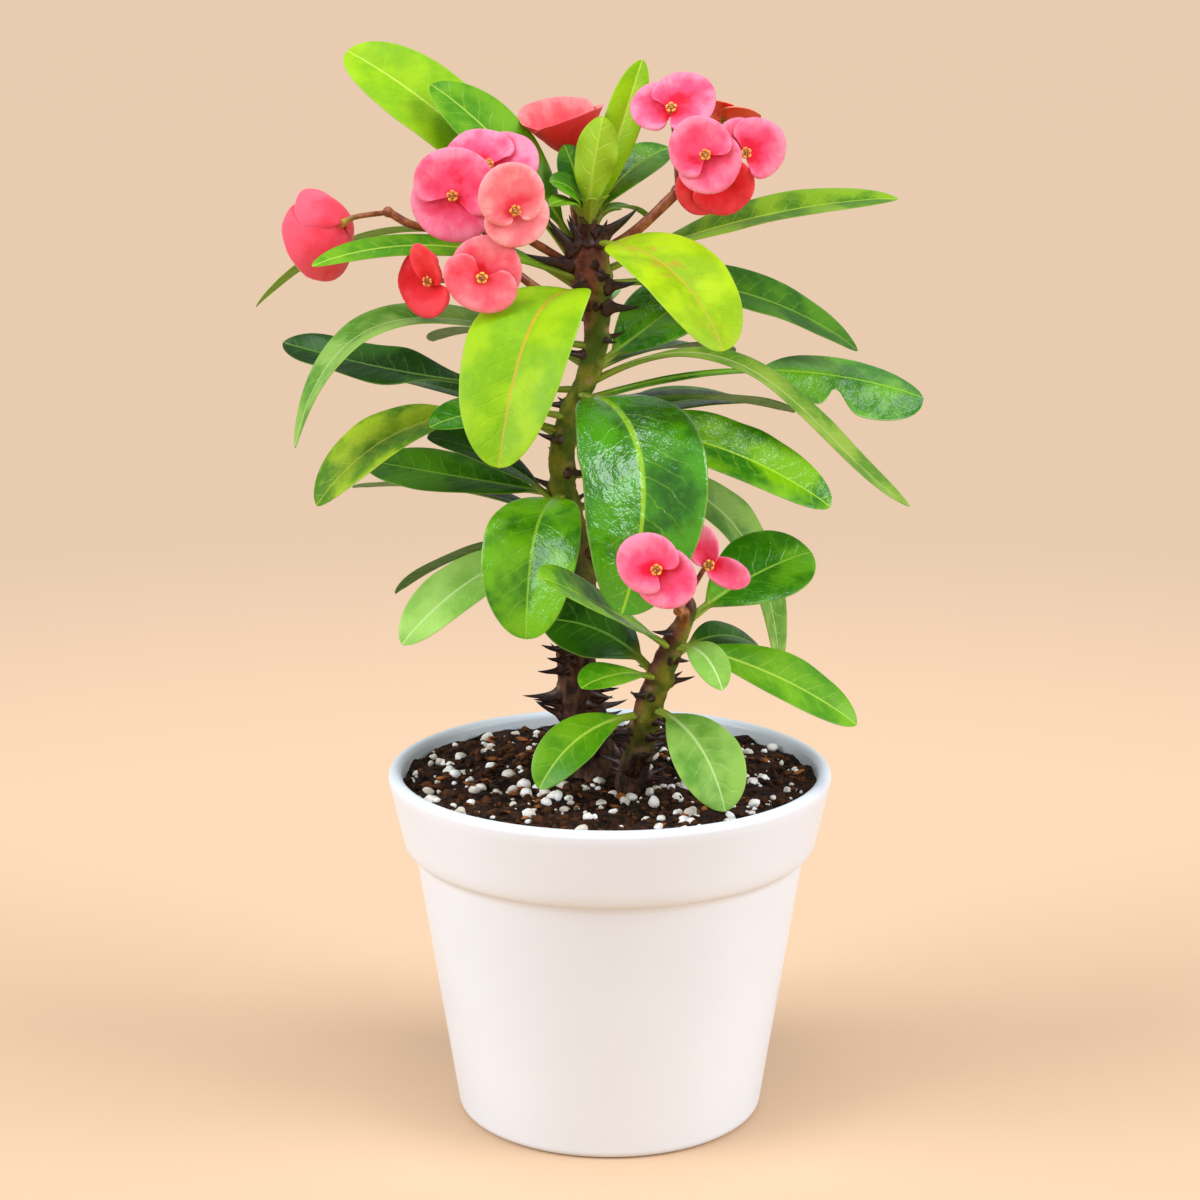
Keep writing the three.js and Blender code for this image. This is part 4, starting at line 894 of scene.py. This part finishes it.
def thorns_of(name, steps=12, around=10):
    """The stem's thorns: those of the frame, and smaller ones where there is room. Each is carried
    along a line that starts in the bark and sags by a parabola. Its width falls by a power of what
    is left to the point, and a bell curve widens its foot."""
    none = np.empty((0, 4))
    crown, buds = (CROWN_THORNS, BUD_SPINES) if name == "tall" else (none, none)
    kinds = dict(plain=thorn_rows(name), crown=crown, bud=buds, young=young_thorn_rows(name))
    height, azimuth, rise, length = np.vstack(list(kinds.values())).T
    kind = np.repeat(list(kinds), [len(rows) for rows in kinds.values()])
    middle, radius = stem_at(name, height)
    root = middle + direction(azimuth) * (radius - THORN["sunk"])[:, None]
    way = direction(azimuth, rise)
    whole = (length + THORN["sunk"])[:, None]
    kept = np.where(kind == "young", clear_of_leaves(root, way, whole), in_frame(name, root + way * whole))
    kept |= kind == "bud"
    root, way, whole, kind = root[kept], way[kept], whole[kept], kind[kept]
    stout = np.where(np.isin(kind, ["crown", "bud"]), THORN["crown_widening"], 1)
    width = (THORN["width"] + THORN["widening"] * length[kept]) * stout
    part = np.linspace(0, 1, steps)
    foot = 0.8 * bell(part / 0.16)
    thick = width[:, None] * (0.78 * (1 - part) ** 0.85 + foot) + 0.05
    lift = np.cross(np.cross(way, [0, 0, 1]), way)
    sag = THORN["bend"] * (part * (1 - part))[:, None] * whole[:, None]
    path = root[:, None] + way[:, None] * whole[:, None] * part[:, None] - lift[:, None] * sag
    turn = round_turn(around)[:, None]
    side = unit(np.cross(way, [0, 0, 1]))[:, None]
    loop = np.cos(turn) * side + 1.25 * np.sin(turn) * np.cross(way, side[:, 0])[:, None]
    rings = path[:, :, None] + thick[:, :, None, None] * loop[:, None]
    return skin(rings, point=np.clip(part * 1.6 - 0.35, 0, 1)[None, :, None])


def stem_skin(name, spacing=0.55, around=52):
    """Rings up the stem, closed by a dome, moved in and out by corky relief. Bell curves raise a
    swelling under each pair of thorns and sink a leaf scar above it."""
    rings = STEMS[name]["rings"]
    foot, top = rings[0][0], rings[-1][0]
    rise = np.radians(np.linspace(0, 84, 9))
    seen = np.arange(foot - 4, top, spacing)
    height = np.concatenate([STEM_IN_MIX, seen, top + DOME * np.sin(rise)])
    middle, radius = stem_at(name, np.clip(height, foot, top))
    radius[-len(rise):] *= np.cos(rise)
    middle[:, 2] = height
    turn = np.linspace(0, 360, around, endpoint=False)
    out = direction(turn)
    place = middle[:, None] + out * radius[:, None, None]
    pairs = thorn_rows(name).reshape(-1, 2, 4).mean(1)
    up = height[:, None, None] - pairs[:, 0]
    round_by = np.radians((turn[None, :, None] - pairs[:, 1] + 180) % 360 - 180) * radius[:, None, None]
    swelling = bell(round_by / SWELLING["wide"], up / SWELLING["long"]).sum(-1)
    scar = bell(round_by / SCAR["wide"], (up - SCAR["above"]) / SCAR["long"]).sum(-1)
    cork = sum(tall * lumps(place, size, seed) for seed, (tall, size) in enumerate(CORK, 5))
    slender = np.minimum(radius / 5, 1)[:, None]
    relief = slender * cork + SWELLING["height"] * swelling - SCAR["depth"] * scar
    high, chance = place[..., 2], lumps(place, 5, 8)
    start, stop = STEMS[name]["young"]
    young = np.clip((high - start) / (stop - start) + 0.25 * chance, 0, 1)
    start, stop = STEMS[name]["flush"]
    aside = 0.28 * (place[..., 0] - middle[:, :1])
    flush = np.clip((high - start) / (stop - start) + 0.3 * chance - aside, 0, 1)
    return skin(place + out * relief[..., None], young=0.85 * young, flush=flush, scar=np.clip(scar, 0, 1))


def stalk_line(head, bloom):
    """Where the thin stalk of a bloom starts, how it comes up behind the cup, and ends."""
    at, out = np.array(bloom["at"], float), direction(*bloom["face"])
    end = BRACT["layer"] + 0.35 - CUP["foot"] * CUP["height"] + 2 * GAP
    return [head["path"][-1], at - out * (end + STALK["straight"]), at - out * (end - 1)]


def stalks(head):
    """The main stalk of a flower head, its fork, and the thin stalk of each bloom, which turns
    from brown to green towards the bloom."""
    path = smooth_path(head["path"], steps=12)
    main = skin(tube(path, head["radius"] * (1 + 0.08 * lumps(path, 4, 9)), around=16), young=0)
    fork = np.array(head["path"][-1:], float)
    knob = grains(fork, np.full((1, 3), 1.3 * head["radius"]), LEVEL, bumpy=0.15, rows=9, around=14)
    thin = []
    for bloom in head["blooms"]:
        line = smooth_path(stalk_line(head, bloom), steps=10)
        part = np.linspace(0, 1, len(line))
        wide = STALK["radius"] * (0.95 + 0.35 * part ** 6)
        thin.append(skin(tube(line, wide, around=12), young=np.clip(1.5 * part - 0.6, 0, 1)[:, None]))
    return [main, knob, *thin]


# ---------------------------------------------------------------- leaves

def midrib(base, tip, azimuth, form, t):
    """The midrib at t: a straight chord from base to tip, arched by parabolas. Gives its points
    and the ways across, along and up from it."""
    chord = tip - base
    side = direction(azimuth + 90)
    above = unit(np.cross(unit(chord), side))

    def place(t):
        arch = (4 * t * (1 - t))[:, None]
        lean = 1 + form["skew"] * (1 - 2 * t[:, None])
        return base + chord * t[:, None] + above * form["bow"] * arch * lean + side * form["sweep"] * arch

    along = unit(place(t + 0.01) - place(t - 0.01))
    across = unit(side - along * (along @ side)[:, None])
    across = turned(across, along, form["roll"] + form["twist"] * t)
    return place(t), across, along, np.cross(along, across)


def half_width(width, form, t):
    """Half the blade's width: u^a (1 - u)^b, as 1 at its widest place, joined to the bare stalk by
    a fourth-power mean."""
    u = np.clip((t - form["stalk"]) / (1 - form["stalk"]), 0, 1)
    widest, b = form["widest"], form["blunt"]
    a = b * widest / (1 - widest)
    outline = u ** a * (1 - u) ** b / (widest ** a * (1 - widest) ** b)
    least = np.where(u < 0.5, BLADE["stalk_width"] * (1 - 0.3 * u), BLADE["tip_width"])
    return ((width * outline) ** 4 + least ** 4) ** 0.25 / 2


def blade(base, tip, azimuth, width, form, sunk, quilt, seed):
    """A leaf: rings across its midrib, each a thin lens with a groove along the middle of its
    upper side and a keel under it. It is folded up at both sides by a rounded V, ruffled at the
    edges by a sine, and raised a little between its side veins by the power of a sine."""
    length = np.linalg.norm(tip - base)
    first = -sunk / length
    q = np.linspace(0, 1, BLADE["rows"])
    t = first + (1 - first) * (0.4 * q + 0.6 * np.sin(np.pi / 2 * q))
    middle, across, along, up = (v[:, None] for v in midrib(base, tip, azimuth, form, t))
    t = t[:, None]
    turn = round_turn(BLADE["around"])
    s = np.sign(np.cos(turn)) * np.abs(np.cos(turn)) ** 1.35
    half = half_width(width, form, t) * np.ones_like(s)
    if form["notch"]:
        where, side, depth, wide = form["notch"]
        half = half * (1 - depth * (s * side > 0) * bell((t - where) / wide))
    inside = np.clip(t, 0, 1)
    shape = np.sin(np.pi * inside)
    x, y = s * half, t * length + 0 * s

    def relief(sideways, size, number):
        """Chance relief along the blade, not the same on its two sides."""
        return lumps(np.stack([y, sideways, 0 * y], -1), size, number)

    half = half * (1 + BLADE["wobble"] * s * s * shape * relief(40 * np.sign(x), 7, seed))
    x = s * half
    rounded = np.sqrt(x * x + 0.64) - 0.8
    fold = math.tan(math.radians(form["fold"])) * (rounded + 0.3 * np.abs(x) * (1 - s * s))
    ruffle = form["wave"] * s * s * np.sin(2 * np.pi * (2.5 * t + 0.2 * s)) * shape
    drift = BLADE["drift"] * s * s * shape * relief(30 * np.sign(x), 13, seed + 1)
    vein = np.sin(np.pi * ((y - VEIN_LEAN * np.abs(x)) / VEIN + 0.5 * (x > 0)))
    inner = np.clip(np.abs(x) / 3, 0, 1) * (1 - s ** 4) * shape
    uneven = 0.5 * lumps(np.stack([x, y, 0 * y], -1), 3.5, seed + 2)
    cushion = quilt * inner * (np.abs(vein) ** 0.8 - 0.6 + uneven)
    rib = bell(x / BLADE["rib"]) * np.clip(1.1 - t, 0, 1)
    stout = (0.78 + 1.1 * (1 - inside) ** 4) * np.clip((1 - t) * 14, 0.35, 1)
    thick = 0.5 * BLADE["thickness"] * stout * np.abs(np.sin(turn)) ** 0.5
    above = thick - BLADE["groove"] * rib * (shape > 0.05)
    below = -thick - BLADE["keel"] * rib
    level = fold + ruffle + drift + cushion + np.where(np.sin(turn) > 0, above, below)
    rings = middle + across * x[..., None] + up * level[..., None]
    return skin(rings, across=s, along=inside, from_rib=x, from_stem=y, upper=upper_side(turn))


SLOT_OF = {row["node"]: row["material_slot"] for row in frame["record"]["subparts"]}


def leaf(number, name, stem, height, tip, width, choices, tone):
    """A leaf of the frame: a blade from the skin of its stem to its tip."""
    form = {**FORM, **choices}
    middle, radius = stem_at(stem, np.array(float(height)))
    tip = np.array(tip, float)
    azimuth = math.degrees(math.atan2(tip[1] - middle[1], tip[0] - middle[0]))
    base = middle + direction(azimuth) * (radius + BLADE["off_stem"])
    quilt = QUILT.get(tone, PLAIN_QUILT)
    made = blade(base, tip, azimuth, width, form, sunk=2.4, quilt=quilt, seed=number)
    return piece(name, [(made, LEAF_FINISHES[tone])], SLOT_OF[name], [name])


def crown():
    """The growing point: a small bud of scales with the young leaves that rise from it."""
    x, y, z = CROWN_BUD["base"]
    tall, wide = CROWN_BUD["height"], CROWN_BUD["radius"]
    heart = np.array([[x, y, z + tall / 2]])
    bud = grains(heart, np.array([[wide, wide, tall / 2]]), LEVEL, bumpy=0.1, rows=12, around=20)
    skins = [(bud, BUD_SKIN)]
    for number in range(CROWN_SCALES["count"]):
        azimuth = GOLDEN_ANGLE * number
        start = heart[0] + direction(azimuth) * 0.55 * wide - [0, 0, 0.25 * tall]
        reach = CROWN_SCALES["length"] * (0.75 + 0.5 * scatter(number, 13))
        end = start + reach * direction(azimuth, 30 + 6 * number)
        form = {**FORM, **CROWN_SCALES["form"]}
        made = blade(start, end, azimuth, CROWN_SCALES["width"], form, sunk=1, quilt=0.05, seed=80 + number)
        skins.append((made, LEAF_FINISHES[("green", "fresh", "olive")[number % 3]]))
    for number, (tip, width, azimuth, choices, tone) in enumerate(CROWN_LEAVES):
        base = np.array([x, y, z + 0.55 * tall]) + direction(azimuth) * 0.5 * wide
        form = {**FORM, **choices}
        tip = np.array(tip, float)
        made = blade(base, tip, azimuth, width, form, sunk=1.5, quilt=PLAIN_QUILT, seed=60 + number)
        skins.append((made, LEAF_FINISHES[tone]))
    return piece("crown_leaves", skins, "leaf_young", ["crown_leaves"])


# ---------------------------------------------------------------- blooms

def bract(bloom, which, seed):
    """A bract: the part of an ellipse that a fan about the cup takes up, with rounded corners. Its
    rings are slices from the heart to the rim, each a thin lens. Powers of the way out to the rim
    dish it forward, wave its rim and roll that back, and a bell curve creases its middle."""
    turn_to, long, wide, shift, fan, cupped = bloom["bracts"][which]
    out = direction(*bloom["face"])
    axis = turned(direction(bloom["face"][0] + 90), out, np.array(float(turn_to)))
    a = np.sin(np.pi / 2 * np.linspace(-1, 1, BRACT["rows"]))[:, None]
    turn = round_turn(BRACT["around"])
    part = (1 - np.cos(turn)) / 2
    angle = np.radians(fan * a)
    c, d = np.cos(angle), np.sin(angle)
    root = np.sqrt(np.maximum(0, (wide * c) ** 2 + (long ** 2 - shift ** 2) * d ** 2))
    edge = (wide ** 2 * shift * c + long * wide * root) / ((wide * c) ** 2 + (long * d) ** 2)
    uneven = BRACT["uneven"] * lumps(np.stack([3 * a, 0 * a, 0 * a], -1), 1, seed)
    edge = edge * (1 - 0.06 * a ** 6 - BRACT["corner"] * a ** 14 + uneven)
    rho = BRACT["heart"] + (edge - BRACT["heart"]) * part
    ahead, aside = rho * c, rho * d
    order = 1 - 2 * which
    folded = math.tan(math.radians(cupped)) * np.maximum(0, ahead)
    bowled = math.tan(math.radians(bloom["bowl"])) * rho * part
    spot = np.stack([ahead, aside, 0 * aside], -1)
    wave = BRACT["wave"] * lumps(spot, 8, seed + 3) + BRACT["ripple"] * lumps(spot, 4, seed + 4)
    crease = BRACT["crease"] * bell(aside / BRACT["crease_width"]) * part * (1 - part)
    dish = BRACT["dish"] * part ** 2 - BRACT["roll"] * part ** 10 - crease
    thick = 0.5 * BRACT["thickness"] * np.abs(np.sin(turn)) ** 0.5 * (1.15 - 0.5 * part)
    sheet = np.where(np.sin(turn) > 0, thick, -thick)
    level = BRACT["layer"] * order + folded + bowled + dish + part ** 1.5 * wave + sheet
    at = np.array(bloom["at"], float)
    rings = at + axis * ahead[..., None] + np.cross(out, axis) * aside[..., None] + out * level[..., None]
    return skin(rings, part=part, fan=a, front=upper_side(turn))


def cup(bloom, seed):
    """The small true flowers in the middle of a bloom: an urn, five nectar glands round its
    mouth, and a tuft of stamens."""
    at, out = np.array(bloom["at"], float), direction(*bloom["face"])
    level = direction(bloom["face"][0] + 90)
    ways = np.stack([level, np.cross(out, level), out])
    wide, tall = CUP["radius"], CUP["height"]
    foot, mouth = CUP["foot"] * tall, CUP["mouth"] * tall
    profile = np.array([
        (0.45 * wide, foot - 0.6), (0.75 * wide, foot), (0.95 * wide, 0.2 * tall),
        (0.85 * wide, mouth - 0.3), (0.6 * wide, mouth), (0.3 * wide, mouth - 0.2),
    ])
    urn = lathe(profile, 20) @ ways + at
    out_of_middle = direction(72 * np.arange(5) + 40 * scatter(seed, 1))
    glands = at + (out_of_middle * 0.8 * wide + [0, 0, mouth + 0.05]) @ ways
    upright = np.broadcast_to([0, 0, 1.0], (5, 3))
    gland_ways = np.stack([np.cross([0, 0, 1], out_of_middle), out_of_middle, upright], -2) @ ways
    stamens = at + (np.array(TUFT) + [0, 0, mouth]) @ ways
    glands = grains(glands, np.tile(CUP["gland"], (5, 1)), gland_ways, bumpy=0.1, rows=6, around=10)
    ways = np.tile(ways, (5, 1, 1))
    stamens = grains(stamens, np.full((5, 3), CUP["stamen"]), ways, bumpy=0.1, rows=5, around=7)
    return [(skin(urn), CUP_SKIN), (glands, GLAND), (stamens, STAMEN)]


def bloom(name, row, seed):
    """A bloom of the frame: two bracts round a cup."""
    row = {**BLOOM, **row}
    velvet = BRACT_FINISHES[row["tint"]]
    skins = [(bract(row, which, seed + 10 * which), velvet) for which in (0, 1)]
    return piece(name, skins + cup(row, seed), "bloom_bract", [name])


# ---------------------------------------------------------------- the whole plant

pot()
piece("potting_mix", [(mix_body(), PEAT)], "potting_mix", ["soil"])
piece("mix_grains", [(crumbs(), CRUMB), (chips(), CHIP), (perlite(), PERLITE)], "potting_mix", ["soil"])
for name in STEMS:
    flowers = [skin for head in HEADS if head["stem"] == name for skin in stalks(head)]
    skins = [(stem_skin(name), BARK), (thorns_of(name), THORN_HORN)]
    skins += [(each, STALK_SKIN) for each in flowers]
    piece(name + "_stem", skins, "stem_bark", ["stem_" + name])
crown()
for number, row in enumerate(LEAVES):
    leaf(number, *row)
for head in HEADS:
    for number, row in enumerate(head["blooms"], 1):
        bloom(f"bloom_{head['name']}_{number}", row, 7 * number + len(head["name"]))


# ---------------------------------------------------------------- floor, light and camera

def painted_board(name, near, far):
    """Matt paint, which gives a plain warm ground: near the pot one tone, and from 0.3 to 0.9 m
    away a darker one, which is painted shade: the dimmer light of the far floor and backdrop."""
    material, put = finish(name)
    away = put("VectorMath LENGTH", put("TexCoord", out="Object"))
    # painted shade: the ground darkens away from the pot, as if less light fell there
    colour = put(MIX, put(STEP, away, 0.3, 0.9), near, far)
    return dressed(material, Base_Color=colour, Roughness=0.85, Specular_IOR_Level=0.05)


def floor(reach=60.0):
    """A plain pale floor, wide enough to fill every view."""
    mesh = bpy.data.meshes.new("floor")
    corners = [(-reach, -reach, 0), (reach, -reach, 0), (reach, reach, 0), (-reach, reach, 0)]
    mesh.from_pydata(corners, [], [(0, 1, 2, 3)])
    mesh.materials.append(painted_board("painted_board_pale", "#DAB896", "#C6A98C"))
    linked("floor", mesh)


# Studio lights, a little cooler than the room's own white: (name, azimuth, rise, width, strength).
DAYLIGHT = "#EEF5FF"
SUNS = [("left", 200, 30, 40, 2.46), ("right", 341, 28, 40, 2.34), ("above", 270, 82, 24, 1.1)]


def soft_sun(name, azimuth, rise, width, strength):
    """A light too far away to weaken over the plant: it comes from that azimuth and rise, and
    seems width degrees across, which softens its shadows."""
    data = bpy.data.lights.new(name, "SUN")
    data.angle, data.energy, data.color = math.radians(width), strength, linear(DAYLIGHT)[:3]
    linked(name, data).rotation_euler = (math.radians(90 - rise), 0, math.radians(azimuth + 90))


def room(colour, strength):
    """An even sky, which stands for the pale walls and ceiling of a room."""
    world = bpy.data.worlds.new("room")
    world.use_nodes = True
    sky = world.node_tree.nodes["Background"]
    sky.inputs["Color"].default_value = linear(colour)
    sky.inputs["Strength"].default_value = strength
    bpy.context.scene.world = world


def camera(place, pitch, lens):
    """A camera that looks along +Y and pitch degrees down, with a lens in mm for 36 mm film."""
    data = bpy.data.cameras.new("camera")
    data.lens, data.sensor_width = lens, 36
    data.clip_start, data.clip_end = 0.05, 200
    made = linked("camera", data)
    made.location = [MM * each for each in place]
    made.rotation_euler = (math.radians(90 - pitch), 0, 0)
    bpy.context.scene.camera = made


floor()
room("#FAFAFF", 0.55)
bpy.context.scene.view_settings.view_transform = "Standard"
for sun in SUNS:
    soft_sun(*sun)
camera(place=(-2.9, -760, 329), pitch=12.94, lens=80.6)
